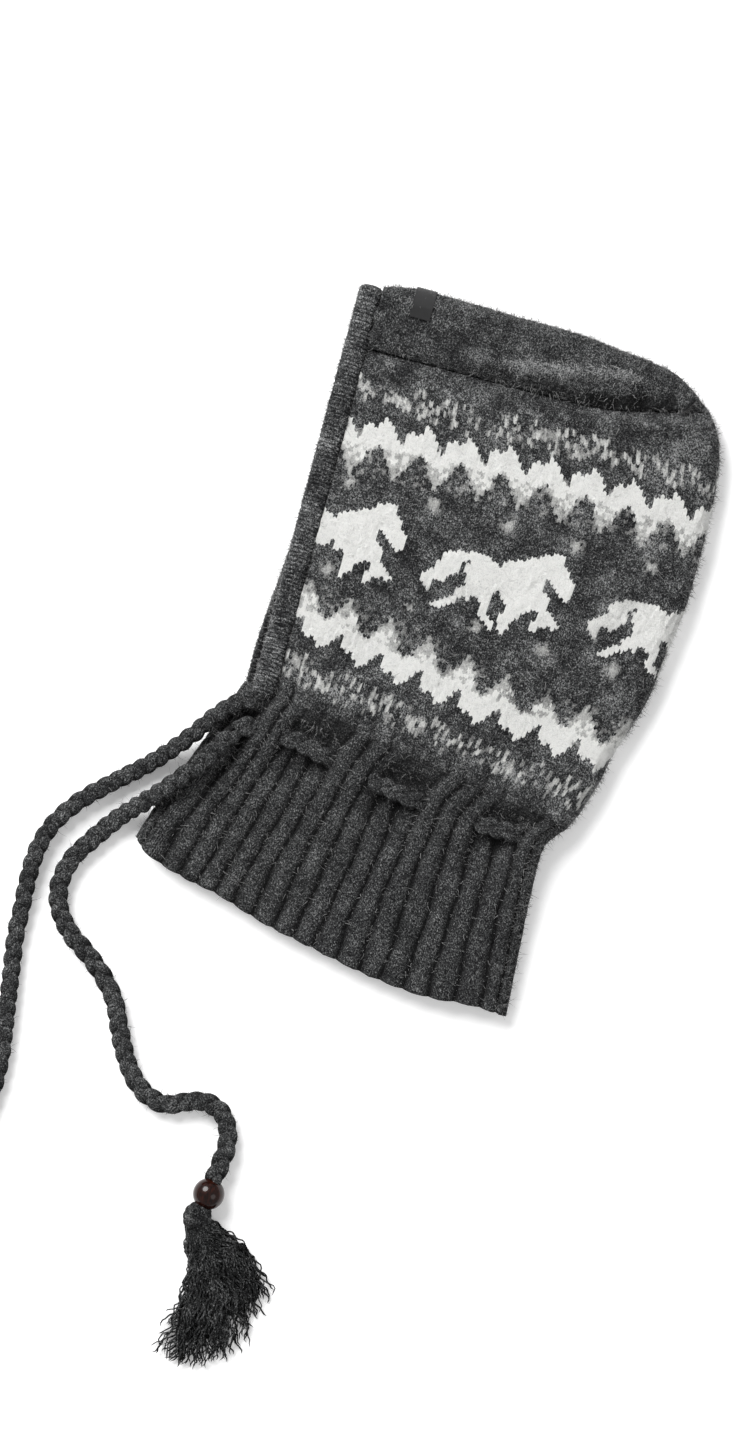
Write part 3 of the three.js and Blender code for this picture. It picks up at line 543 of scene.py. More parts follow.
def wool(name, darkness=1.0, patterned=False, stitched=True, relief=0.0011, mottle=1.0):
    """Felted mélange yarn: tone is the sum of a fine speckle, a coarse one and a broad mottle, each
    about −1 to 1, and runs from dark over mid to light fibres. Where the shade attribute is high, a
    patterned wool is white yarn and a plain one is painted lighter, a painted highlight on its ridges.
    A negative shade is painted shade: a hollow that little light reaches is darkened. The furrows
    between the stitch legs are darkened as painted shade too."""
    paint = Paint(name)
    fine = (paint.noise(1300, 2, 0.7, stretch=(1, 0.75, 1)) - 0.5) * 5.6
    coarse = (paint.noise(430, 3, 0.7, stretch=(0.8, 1, 1)) - 0.5) * 4.0
    broad = (paint.noise(75, 3, 0.6) - 0.5) * 3.0
    hair = paint.noise(2000, 2, 0.7, stretch=(0.35, 1, 1))
    shade = paint.shade()
    tone = fine * 0.85 + coarse * 0.45 * mottle + broad * 0.7 * mottle + 0.37
    # Painted light: a plain wool is lightened where the shade attribute is high, on the crown's ridges
    if not patterned:
        tone = tone + shade.eased(0, 1) * 0.7
    dark, mid, light = (tuple(c * darkness for c in fibre) for fibre in (DARK_FIBRE, CHARCOAL, LIGHT_FIBRE))
    grey = paint.mix(tone.eased(-0.2, 0.6), dark, mid)
    grey = paint.mix(tone.eased(0.55, 1.4), grey, light)
    colour = paint.mix(hair.eased(0.56, 0.75) * 0.25, grey, light)
    height = fine * 0.2 + coarse * 0.25 + hair * 0.4
    if patterned:
        fuzzed = shade + coarse * 0.07 + fine * 0.06
        white = paint.mix((fine * 0.4 + coarse * 0.35 + 0.55).eased(-0.3, 0.7), SHADED_WHITE, OFF_WHITE)
        cover = fuzzed.eased(0.1, 0.92)
        colour = paint.mix(cover, colour, white)
    if stitched:
        u, v = paint.yarns()
        knit = stitch_height(u, v)
        # Painted shade: the colour darkens where the stitch height is low, between the legs
        colour = paint.mix((1 - knit).eased(0.3, 1) * 0.3, colour, dark)
        height = height + knit * 0.8
    # Painted shade: a negative shade darkens the colour towards a near black in hollows
    colour = paint.mix((0 - shade).eased(0.05, 1) * 0.92, colour, tuple(c * 0.3 for c in dark))
    return paint.finish(colour, 0.97, height, relief, Sheen_Weight=0.04, Sheen_Roughness=0.5,
                        Specular_IOR_Level=0.06)


def fuzz_paint(name):
    """Single loose fibres, grey or, from white yarn, white; those from a crown ridge painted light are lighter
    too.
    """
    paint = Paint(name)
    speck = paint.noise(500, 1, 0.5)
    colour = paint.mix(paint.shade() * 0.8 + speck * 0.2, GREY_HAIR, WHITE_HAIR)
    return paint.finish(colour, 0.9, speck, 0.0001, Specular_IOR_Level=0.1)


def polished_wood(name):
    """Dark red-brown wood: fine grain along the bore, deeper rings, under a clear gloss."""
    paint = Paint(name)
    grain = paint.noise(900, 4, 0.65, stretch=(1, 0.12, 1))
    rings = (paint.noise(130, 1, 0.4, stretch=(1, 0.3, 1)) * 9).wave() * 0.5 + 0.5
    colour = paint.mix(grain.eased(0.35, 0.7) * 0.6 + rings * 0.25, WOOD_GRAIN, RED_BROWN)
    return paint.finish(colour, grain * 0.12 + 0.16, grain, 0.00004, Specular_IOR_Level=0.14, Coat_Weight=0.3,
                        Coat_Roughness=0.06)


def satin(name):
    """Close dark warp and weft, with a painted dull gleam on the raised threads and painted shade between
    them.
    """
    paint = Paint(name)
    u, v = paint.yarns()
    weave = (u * 46).wave() * (v * 60).wave() * 0.5 + 0.5
    rough = paint.noise(700, 2, 0.5)
    colour = paint.mix(weave * 0.5 + rough * 0.3, SATIN_SHADE, SATIN_GLEAM)
    return paint.finish(colour, rough * 0.2 + 0.42, weave + rough * 0.3, 0.00012, Specular_IOR_Level=0.25)


def paper(name):
    """Matt white paper that glows a little, so that it stays white round the soft shadow."""
    paint = Paint(name)
    mottle = paint.noise(3, 2, 0.5)
    colour = paint.mix(mottle, (0.90, 0.90, 0.90), (0.92, 0.92, 0.92))
    return paint.finish(colour, 0.9, mottle, 0.0001, Specular_IOR_Level=0.0, Emission_Strength=0.16)


# Camera

# Straight above, in metres, and turned by as much as the hood lies turned in the picture
CAMERA_PLACE = (-0.0212, -0.0495, 2.5)
HOOD_TURN = 15
CAMERA_LENS = 106.4

camera = bpy.data.objects.new("camera", bpy.data.cameras.new("camera"))
bpy.context.scene.collection.objects.link(camera)
camera.location = CAMERA_PLACE
camera.rotation_euler = (0, 0, np.radians(HOOD_TURN))
camera.data.sensor_width = 36
camera.data.lens = CAMERA_LENS
camera.data.clip_end = 20
bpy.context.scene.camera = camera

# Cord and its two tails

# A braid's half width and half thickness, the radius of its strands and the length of one full plait
TAIL_NEAR_BRAID = (5.9, 5.6, 3.1, 27)
TAIL_FAR_BRAID = (5.3, 5.6, 3.1, 27)
THREADED_BRAID = (5.9, 3.6, 2.8, 27)
STRAND_SIDES = 14
# Near its far exit the threaded cord is seen from its side, so no painted shade is put on its lower side there
EXIT_STRETCH = 24

cord_wool = wool("cord_wool", darkness=0.75, mottle=0.6)


def level_frames(path):
    """Unit width, level and across the path's tangent, and unit lift across both."""
    tangent = np.gradient(path, axis=0)
    tangent /= np.linalg.norm(tangent, axis=1, keepdims=True)
    width = np.stack([-tangent[:, 1], tangent[:, 0], 0 * tangent[:, 0]], -1)
    width /= np.linalg.norm(width, axis=1, keepdims=True) + 1e-9
    return width, np.cross(tangent, width)


def braid(path, width, lift, form, seed):
    """Three strands: strand k swings sin(a + 2πk/3) across the path and sin(2(a + 2πk/3)) up, where a
    grows by 2π every period. Each is a lumpy round tube, with painted shade on its lower side."""
    half_width, half_thickness, strand, period = form
    rng = np.random.default_rng(seed)
    step = np.linalg.norm(np.diff(path, axis=0), axis=1)
    walked = np.concatenate([[0], np.cumsum(step)])
    phase = 2 * np.pi * walked / period + 0.5 * np.sin(walked / 31 + seed) + 0.3 * np.sin(walked / 13)
    turns = phase + 2 * np.pi * np.arange(3)[:, None] / 3
    across = (half_width - strand) * np.sin(turns)
    up = (half_thickness - strand) * np.sin(2 * turns)
    centres = path + across[..., None] * width + up[..., None] * lift
    lumps = 1 + 0.07 * np.sin(turns * 2 + rng.uniform(0, 6))
    lumps = lumps + 0.05 * np.sin(walked / 3.1 + rng.uniform(0, 6, (3, 1)))
    ends = np.clip(np.minimum(walked, walked[-1] - walked) / strand, 0, 1)
    radii = strand * lumps * np.sqrt(1 - (1 - ends) ** 2 + 1e-6)
    points, faces, uv = tubes(centres, radii, STRAND_SIDES, (0, 0, 1.0))
    uv = uv * (6, walked[-1] / 2)
    middle, upward = (np.tile(np.repeat(row, STRAND_SIDES, axis=0), (3, 1)) for row in (path, lift))
    rise = np.einsum("ij,ij->i", points - middle, upward)
    # Painted shade: the strands darken towards the braid's lower side
    hollow = smooth(0.15 * half_thickness, 0.85 * half_thickness, rise) - 1
    return points, faces, uv, hollow[faces]


def lay_tail(name, route, form, seed):
    """The tail's braid, run on by a few millimetres into the bead's bore."""
    path = Curve(route).at(np.linspace(0, 1, 320))
    path = np.vstack([path, path[-1] + (path[-1] - path[-2]) * np.arange(1, 4)[:, None]])
    width, lift = level_frames(path)
    points, faces, uv, hollow = braid(path, width, lift, form, seed)
    piece = add_piece(name, points, faces, uv, hollow, weld=True,
                      replaces=["drawcord_" + name])
    return give(piece, cord_wool), path


tail_near, path_near = lay_tail("tail_near", TAIL_NEAR_ROUTE, TAIL_NEAR_BRAID, 3)
tail_far, path_far = lay_tail("tail_far", TAIL_FAR_ROUTE, TAIL_FAR_BRAID, 4)

NEAR_INSIDE = GATHER_HEIGHT - RIB_THICKNESS - CORD_ROOM - CORD_FLAT / 2
NEAR_OUTSIDE = GATHER_HEIGHT - PRESS + CORD_ROOM + CORD_FLAT / 2
FAR_INSIDE = RIB_THICKNESS + CORD_ROOM + CORD_FLAT / 2
FAR_OUTSIDE = CORD_ROOM + CORD_FLAT / 2


def threaded(t, aside, z):
    """Points of the cord's line across the neck, moved aside along y, at height z."""
    place = neck_plan(cord_line(t), t)
    return np.column_stack([place[:, 0], place[:, 1] + aside, z + 0 * t])


def before_exit(route, distance):
    """The point that lies so far inside a tail's exit, in line with its first span."""
    start, after = np.array(route[0], float), np.array(route[1], float)
    return start - distance * (after - start) / np.linalg.norm(after - start)


def threaded_route():
    """From the near exit along the near layer, round the back and along the far layer."""
    near = lerp(0.1, 0.925, np.linspace(0, 1, 27))
    far = lerp(0.13, 0.925, np.linspace(1, 0, 27))[:-1]
    turn = np.array([0.945, 0.958, 0.945])
    near_z = lerp(NEAR_INSIDE, NEAR_OUTSIDE, float_share(NEAR_FLOATS, near))
    far_z = lerp(FAR_INSIDE, FAR_OUTSIDE, float_share(FAR_FLOATS, far))
    return np.vstack([
        before_exit(TAIL_NEAR_ROUTE, GAP), before_exit(TAIL_NEAR_ROUTE, 5),
        threaded(near, lerp(-7, 0, smooth(0.1, 0.24, near)), near_z),
        threaded(turn, 0, np.array([NEAR_INSIDE, (NEAR_INSIDE + FAR_INSIDE) / 2, FAR_INSIDE])),
        threaded(far, lerp(8, 0, smooth(0.13, 0.27, far)), far_z),
        threaded(np.array([0.1]), 8, lerp(FAR_INSIDE, TAIL_FAR_ROUTE[0][2], 0.35)),
        before_exit(TAIL_FAR_ROUTE, 5), before_exit(TAIL_FAR_ROUTE, GAP)])


def lay_threaded():
    """The braid inside the neck, its width kept along y as far as the path allows."""
    path = Curve(threaded_route()).at(np.linspace(0, 1, 460))
    tangent = np.gradient(path, axis=0)
    tangent /= np.linalg.norm(tangent, axis=1, keepdims=True)
    width = np.array((0, 1.0, 0)) - tangent * tangent[:, 1:2]
    width /= np.linalg.norm(width, axis=1, keepdims=True)
    points, faces, uv, hollow = braid(path, width, np.cross(tangent, width), THREADED_BRAID, 5)
    inside = np.linalg.norm(points[faces[:, 0]] - path[-1], axis=-1) > EXIT_STRETCH
    piece = add_piece("cord_threaded", points, faces, uv, hollow * inside[:, None], weld=True,
                      replaces=["drawcord"])
    return give(piece, cord_wool), path


cord_piece, path_threaded = lay_threaded()

# Knit body

# The charts' stitches, and one repeat of each motif
STITCH_WIDE = 2.4
STITCH_TALL = 2.0

HORSE = """
..............................###....
............................#####....
...........................######....
.........................#########...
........................###########..
......................#############..
..........######....################.
.......###########.##################
.....#########################.######
....######.###################..#####
....#####.####################...####
....#####.####################....###
...######.#####################....#.
...######..#####################.....
..######...#####################.....
.######....########.############.....
######.....#######..############.....
###.......########...############....
###......#########....######..####...
.##......####..###....#####...#####..
..#.....###.#...##....####....######.
.......###......##...#####...####.#..
......###.......##...####....##......
.....###........###..###.....##......
....###..........###.###.............
..................##.##..............
...................#..#..............
"""
ZIGZAG = """
.....#....
.....##...
..#.####..
.#######..
.########.
.########.
.#########
##########
#####+####
####+.+###
###+...+##
###+...+##
+##.....+#
+#+.....++
++.......+
++.......+
+.........
+.........
"""
HORSE_START = (-17.0, 72.0)
HORSE_REPEAT = 102.0
HORSE_SLOPE = -0.03
# The first horse's lower legs are lost in the gathers by the placket
LEGS_LOST_BEFORE = -64
LEGS_LOST_BELOW = 17
ZIGZAG_REPEAT = 25.0
# Where a peak of the upper zigzag and a tip of the lower one lie
UPPER_FIRST = -59.8
LOWER_FIRST = -64.5
UPPER_PEAKS = [(-82, 119.8), (-36, 122), (13, 123.6), (60, 124.5), (140, 122)]
LOWER_TIPS = [(-82, -16.5), (-15, -28.6), (36, -39.2), (62, -43), (120, -48.5), (150, -50)]
# How white the yarn is: a full stitch of a worn edge, a thinned one, the haze round it, and how far
# from its peaks, in mm, a zigzag starts to fade, fades for good and has no haze left
WORN, THINNED, HAZE = 0.5, 0.55, 0.36
FADE_FROM, FADE_FULL, FADE_END = 10, 22, 36
# How white single speckles are at least, and by how much more at most
SPECKLE = (0.22, 0.5)
# The upper edge of the upper speckled rows: x, y. The lower ones hang below the lower zigzag's tips
SPECKLE_TOP = [(-82, 143), (-60, 139), (0, 139.5), (60, 140), (140, 138)]
# Places of the small snow spots: x, y
SPOTS = [(-71, 79.5), (-20, 79), (25, 78), (67, 77), (112, 76), (-70, 27), (-19, 17.6), (22, 16), (64, 13.5),
         (106, 12), (-75, -30)]


def read_chart(text, column, row):
    """1 for #, 0.5 for +, 0 elsewhere and outside the chart."""
    grades = np.array([[{"#": 1.0, "+": 0.5}.get(mark, 0.0) for mark in line] for line in text.split()])
    inside = (column >= 0) & (column < grades.shape[1]) & (row >= 0) & (row < grades.shape[0])
    return np.where(inside, grades[row % grades.shape[0], column % grades.shape[1]], 0.0)


def yarn_shades(x, y, seed):
    """How white each leg's yarn is, from its place on the flat near layer: charts of horses and
    zigzags, snow spots and speckled rows, thinned by seeded chance."""
    rng = np.random.default_rng(seed)
    chance = np.repeat(rng.random((x.shape[0], (x.shape[1] + 1) // 2)), 2, axis=1)[:, : x.shape[1]]
    shade = np.zeros_like(x)
    across = x - HORSE_START[0]
    column = np.floor((across % HORSE_REPEAT) / STITCH_WIDE).astype(int)
    row = np.floor((HORSE_START[1] + HORSE_SLOPE * across - y) / STITCH_TALL).astype(int)
    shade = np.maximum(shade, read_chart(HORSE, column, row))
    shade = np.where((x < LEGS_LOST_BEFORE) & (row >= LEGS_LOST_BELOW), 0, shade)
    for peaks, first, sign in ((UPPER_PEAKS, UPPER_FIRST, 1), (LOWER_TIPS, LOWER_FIRST, -1)):
        column = np.floor(((x - first) / ZIGZAG_REPEAT * 10 + 5.5) % 10).astype(int)
        drop = sign * (np.interp(x, *np.array(peaks).T) - y)
        mark = read_chart(ZIGZAG, column, np.floor(drop / STITCH_TALL).astype(int))
        shade = np.maximum(shade, np.where(mark == 0.5, THINNED * (chance < 0.85), mark))
        haze = (mark > 0) & (drop > FADE_FULL) | (drop > FADE_FROM) & (drop < FADE_END) & (chance < 0.3)
        shade = np.maximum(shade, HAZE * haze)
        shade = np.where((drop > 18) & (mark == 1) & (chance < 0.4), WORN, shade)
    for spot_x, spot_y in SPOTS:
        near = np.exp(-(((x - spot_x) / 5.0) ** 2) - ((y - spot_y) / 5.5) ** 2)
        shade = np.maximum(shade, np.where(chance < near * 1.1, 0.15 + 0.4 * near, 0))
    top = np.interp(x, *np.array(SPECKLE_TOP).T)
    speckle = smooth(top + 3, top - 2, y) * smooth(top - 17, top - 10, y) * 0.5
    tips = np.interp(x, *np.array(LOWER_TIPS).T)
    speckle = speckle + smooth(tips - 5, tips - 12, y) * smooth(tips - 27, tips - 20, y) * 0.45
    hit = np.where(chance < speckle * 0.6, SPECKLE[0] + SPECKLE[1] * rng.random(x.shape), 0)
    return np.maximum(shade, np.maximum(hit, np.roll(hit, 1, axis=0)))


def corner_shades(leg, edge_mix=0.35):
    """Each leg's own shade, mixed at its corners with the average of the legs that meet there."""
    padded = np.pad(leg, 1, mode="edge")
    meet = (padded[:-1, :-1] + padded[1:, :-1] + padded[:-1, 1:] + padded[1:, 1:]) / 4
    corners = np.stack([meet[:-1, :-1], meet[:-1, 1:], meet[1:, 1:], meet[1:, :-1]], -1)
    return lerp(leg[..., None], corners, edge_mix).reshape(-1, 4)


def folded_surface(plan, top, slip, s, q):
    """The outside of a wall folded once. q is the share of the section's length: near layer at the
    top height, half an ellipse round the rim, far layer on the surface, slid along its row."""
    edge, rim = plan(s, 0 * s), plan(s, 0 * s + 1)
    length = np.linalg.norm(rim - edge, axis=-1)
    along = (rim - edge) / length[..., None]
    bend = 1 - np.minimum(BODY_FOLD, 0.98 * length) / length
    rim_height = top(s, bend)
    flat = bend * length
    arc = np.pi * np.sqrt((BODY_FOLD**2 + (rim_height / 2) ** 2) / 2)
    walked = q * (2 * flat + arc)
    turn = np.pi * (0.5 - np.clip((walked - flat) / arc, 0, 1))
    far = walked > flat + arc
    t = np.where(far, (2 * flat + arc - walked) / length, bend + (1 - bend) * np.cos(turn))
    t = np.where(walked < flat, walked / length, t)
    t = np.clip(t, 0, 1)
    place = plan(s, t) + np.where(far, slip(s) * (1 - t), 0)[..., None] * along
    height = np.where(far, 0, rim_height / 2 * (1 + np.sin(turn)))
    height = np.where(walked < flat, top(s, t), height)
    past = np.maximum(walked - flat, 0)
    return np.concatenate([place, height[..., None]], -1), past


def felted(points, past, size, seed):
    """Moves each point of a grid along its normal by a seeded chance of that size, less where the
    points are close, never below 0."""
    down, over = np.gradient(points, axis=0), np.gradient(points, axis=1)
    normal = np.cross(over, down)
    normal /= np.linalg.norm(normal, axis=-1, keepdims=True) + 1e-9
    room = np.minimum(np.linalg.norm(down, axis=-1), np.linalg.norm(over, axis=-1))
    lump = np.random.default_rng(seed).normal(0, size, past.shape)
    lump = (lump + np.roll(lump, 1, axis=0)) * 0.7
    moved = points + normal * (lump * np.clip(room - 0.3, 0, 1))[..., None]
    return np.concatenate([moved[..., :2], np.maximum(moved[..., 2:], 0)], -1)


def band_slip(s):
    """How far the far layer's edge lies forward of the near one's."""
    return -BAND_SLIP * (1 - smooth(0.1, 0.5, s))


def no_slip(s):
    return 0 * s


def flat_size(grid):
    """Mean length of a grid's rows and of its columns, and the area of its quads, in metres."""
    over, down = np.diff(grid, axis=1) * MM, np.diff(grid, axis=0) * MM
    area = np.linalg.norm(np.cross(over[:-1], down[:, :-1]), axis=-1).sum()
    lengths = [np.linalg.norm(step, axis=-1).sum(axis=k).mean() for step, k in ((over, 1), (down, 0))]
    return sorted(lengths, reverse=True), area


# Rows of stitches and legs of stitches, two to a stitch, round each folded wall, and its thickness
BODY_ROWS, BODY_LEGS, BODY_WALL = 118, 372, 3.4
CROWN_ROWS, CROWN_LEGS, CROWN_WALL = 56, 176, 3.2
# The body's first row runs on under the neck by this share of its height
FIRST_ROW_TUCK = 0.0045
FELT_LUMPS = 0.32
# Painted shade of the creases by their depth, painted light on the crown's ridges and the darkest crease,
# painted shade of the gathers and of the stretches under floats
SHADE_PER_MM = 0.24
RIDGE_LIGHT = 0.7
DARKEST_CREASE = 0.8
GATHER_SHADE = 0.9
PRESSED_SHADE = 0.55


def knit_panel(name, plan, top, slip, rows, columns, swapped, creases, replaces, material, wall):
    """A folded surface with one vertex column to each half stitch, whose odd columns stand half a row
    lower, so that every quad is a leaning leg. Swapped, its rows run along the fold and not across it.
    Creases get painted shade by their depth, and the crown's ridges painted light. The body also has its
    pattern, and painted shade in its gathers and its pressed places."""
    row, column = np.meshgrid(np.arange(rows + 1.0), np.arange(columns + 1.0), indexing="ij")
    inner = np.clip(row, 0.5, rows - 0.5) == row
    lean = np.where((np.arange(columns + 1) % 2 == 1) & inner, -0.5, 0)
    r, c = (row + lean) / rows, column / columns
    r = r - np.where(row == 0, FIRST_ROW_TUCK, 0) * (not swapped)
    points, past = folded_surface(plan, top, slip, *((c, r) if swapped else (r, c)))
    points = felted(points, past, FELT_LUMPS, rows)
    faces, flat = grid_faces(rows + 1, columns + 1)
    v, u = np.divmod(flat, columns + 1)
    uv = np.stack([u / 2, v], -1)
    # Painted shade in the near layer's creases by their depth, and painted light on the crown's ridges
    depth = crease_depth(points[..., :2], creases)
    value = np.clip(SHADE_PER_MM * depth, -RIDGE_LIGHT * swapped, DARKEST_CREASE) * (past == 0)
    value = -value.ravel()[faces]
    if not swapped:
        bend = np.where(past > 0, -np.inf, points[..., 0]).max(axis=1, keepdims=True)
        place = pair(np.where(past > 0, bend + past, points[..., 0]), points[..., 1])
        middle = (place[:-1, :-1] + place[1:, :-1] + place[:-1, 1:] + place[1:, 1:]) / 4
        value = value + corner_shades(yarn_shades(middle[..., 0], middle[..., 1], 21))
        # Painted shade in the gathers' furrows at the neck's seam and in the stretches pressed in under the
        # floats
        neck_t = np.clip(seam_share(points[..., 0]), 0, 1)
        floats = float_share(NEAR_FLOATS, neck_t)
        furrow = (1 - rib_shape(rib_step(neck_t))) * (1 - smooth(0, 0.1, r)) * (1 - FLATTENED * floats)
        pressed = PRESSED_SHADE * floats * (1 - smooth(-0.01, 0.075, r))
        value = value - ((GATHER_SHADE * furrow + pressed) * (past == 0)).ravel()[faces]
    piece = add_piece(name, points.reshape(-1, 3), faces, uv, value, replaces=replaces)
    solid = piece.modifiers.new("wall", "SOLIDIFY")
    solid.thickness = wall * MM
    solid.offset = -1
    return give(piece, material), flat_size(points[:, ::2])


pattern_wool = wool("pattern_wool", patterned=True)
plain_wool = wool("plain_wool", darkness=0.85, mottle=0.8)
rib_wool = wool("rib_wool", darkness=0.74, mottle=0.45)
band_wool = wool("band_wool", darkness=0.85, stitched=False)

hood_body, body_flat = knit_panel("body_knit", body_plan, body_top, band_slip, BODY_ROWS, BODY_LEGS, False,
                                  BODY_CREASES, ["hood_body"], pattern_wool, BODY_WALL)
crown, crown_flat = knit_panel("crown_knit", crown_plan, crown_top, no_slip, CROWN_ROWS, CROWN_LEGS, True,
                               CROWN_CREASES, ["crown_panel"], plain_wool, CROWN_WALL)


# Placket round the face


# How far the band's ends run on under the gathers, the pitch of its ridges, how far its near leg lies
# below the body's height, and its highest point as a share of the hood's length
BAND_END = 4.5
RIDGE_PITCH = 2.5
BAND_SEAT = 0.86
BAND_SINK = 1.8
BAND_TOP = 0.4826
LEG_SAMPLES = 760
BAND_SIDES = 20


def band_height(s):
    """Height of the near leg's middle."""
    return BODY_HEIGHT * read_table(BODY_RISE, s) * BAND_SEAT - BAND_SINK


def boxed(v):
    """Rounds a circle's sine or cosine towards a box's: |v|^0.75 with v's sign."""
    return np.sign(v) * np.abs(v) ** 0.75


def face_band():
    """A rounded-box section carried up the near leg, over the top fold and down the far leg, with
    close ridges across it: |sin(π·walked / pitch)|^0.7."""
    near_x = FACE_X - GAP - BAND_WIDTH / 2
    far_z = BAND_THICKNESS / 2
    bottom = neck_seam_y(near_x - BAND_WIDTH / 2) - BAND_END
    far_bottom = neck_seam_y(near_x - BAND_SLIP - BAND_WIDTH / 2) - BAND_END
    radius = (band_height(np.array(1.0)) - far_z) / 2
    loop = BAND_TOP * HOOD_LENGTH - BAND_THICKNESS / 2 - radius
    up, down = np.linspace(bottom, loop, LEG_SAMPLES), np.linspace(loop, far_bottom, LEG_SAMPLES)
    up_share, down_share = (np.minimum((leg - bottom) / (CROWN_SEAM_Y - bottom), 1) for leg in (up, down))
    turn = np.linspace(0, np.pi, 40)[1:-1]
    x = np.concatenate([near_x + 0 * up, near_x + 0 * turn, near_x + band_slip(down_share)])
    y = np.concatenate([up, loop + radius * np.sin(turn), down])
    z = np.concatenate([band_height(up_share), far_z + radius * (1 + np.cos(turn)), far_z + 0 * down])
    tilt = np.concatenate([0 * up, turn, np.pi + 0 * down])
    walked = np.concatenate([[0], np.cumsum(np.hypot(np.hypot(np.diff(x), np.diff(y)), np.diff(z)))])
    angle = 2 * np.pi * (np.arange(BAND_SIDES) + 0.5) / BAND_SIDES
    lean = 0.4 * np.cos(angle) + 0.25 * np.sin(3 * angle)
    pitch = walked[:, None] + lean + 0.7 * np.sin(walked[:, None] / 17) + 0.35 * np.sin(walked[:, None] / 5.3)
    ridge = np.abs(np.sin(np.pi * pitch / RIDGE_PITCH)) ** 0.7
    swell = 1.12 - 0.32 * (1 - ridge) + 0.07 * ripple(walked[:, None], 6 * angle, 9, 8)
    ends = np.clip(np.minimum(walked, walked[-1] - walked) / RIDGE_PITCH, 0, 1)
    close = np.sqrt(1 - (1 - ends) ** 2 + 1e-6)[:, None]
    across = boxed(np.cos(angle)) * (BAND_WIDTH / 2 + 0.5) * (0.75 + 0.25 * swell) * close
    out = boxed(np.sin(angle)) * (BAND_THICKNESS / 2 + 0.6) * swell * close
    points = np.stack([x[:, None] + across, y[:, None] + out * np.sin(tilt)[:, None],
                       np.maximum(z[:, None] + out * np.cos(tilt)[:, None], 0)], -1)
    faces, flat = grid_faces(len(x), BAND_SIDES, closed_cols=True)
    v, u = np.divmod(flat, BAND_SIDES + 1)
    uv = np.stack([u / 2, walked[v] / 2], -1)
    # Painted shade in the furrows between the ridges, on the side that faces the body, and on the far leg's
    # side next to the near leg
    inner = 0.5 * smooth(0.55, 0.95, np.cos(angle))
    past_fold = smooth(len(up), len(up) + len(turn), np.arange(len(x)))[:, None]
    under = 0.8 * past_fold * smooth(-0.97, -0.5, np.cos(angle))
    hollow = -(0.8 * (1 - ridge) + inner + under).ravel()[faces]
    piece = add_piece("placket", points.reshape(-1, 3), faces, uv, hollow, weld=True,
                      replaces=["face_band"])
    return give(piece, band_wool)


placket = face_band()

# Ribbed neck


NECK_ROWS = 66
COLUMNS_PER_STEP = 7
NECK_WALL = 2.0
# Depth of the furrows at the seam and at the hem, the share of a row by which furrows shorten the hem,
# and the half width of the eyelets round the cord
FURROW_DEPTHS = (3.1, 2.6)
SCALLOP = 0.007
EYELET = 4.6
# How deep the painted shade lies in the furrows and in the stretches pressed in above and below a float
FURROW_SHADE = 1.15
SHADE_ABOVE_CORD = 0.45
SHADE_BELOW_CORD = 0.65


def neck_point(u, s, inset):
    """u runs round the tube, by rib steps and then by rim steps at each fold, s from the seam to the hem."""
    front, back = neck_plan(s, 0 * s), neck_plan(s, 0 * s + 1)
    bend = NECK_FOLD / np.linalg.norm(back - front, axis=-1)
    last = 2 * RIB_STEPS + RIM_STEPS
    parts = [u < RIB_STEPS, u < RIB_STEPS + RIM_STEPS, u < last]
    angle = np.pi * np.select(parts, [0.5 + 0 * u, 0.5 - (u - RIB_STEPS) / RIM_STEPS, -0.5 + 0 * u],
                              -0.5 + (u - last) / RIM_STEPS)
    swing = bend * (1 - inset / NECK_FOLD) * np.cos(angle)
    near, far = (lerp(bend, 1 - bend, rib_place(step)) for step in (u, last - u))
    t = np.select(parts, [near, 1 - bend + swing, far], bend - swing)
    place = neck_plan(s, t)
    low, high = PRESS * press_share(FAR_FLOATS, s, t), neck_top(s, t)
    half = (high - low) / 2
    return np.concatenate([place, (low + half + (half - inset) * np.sin(angle))[..., None]], -1)


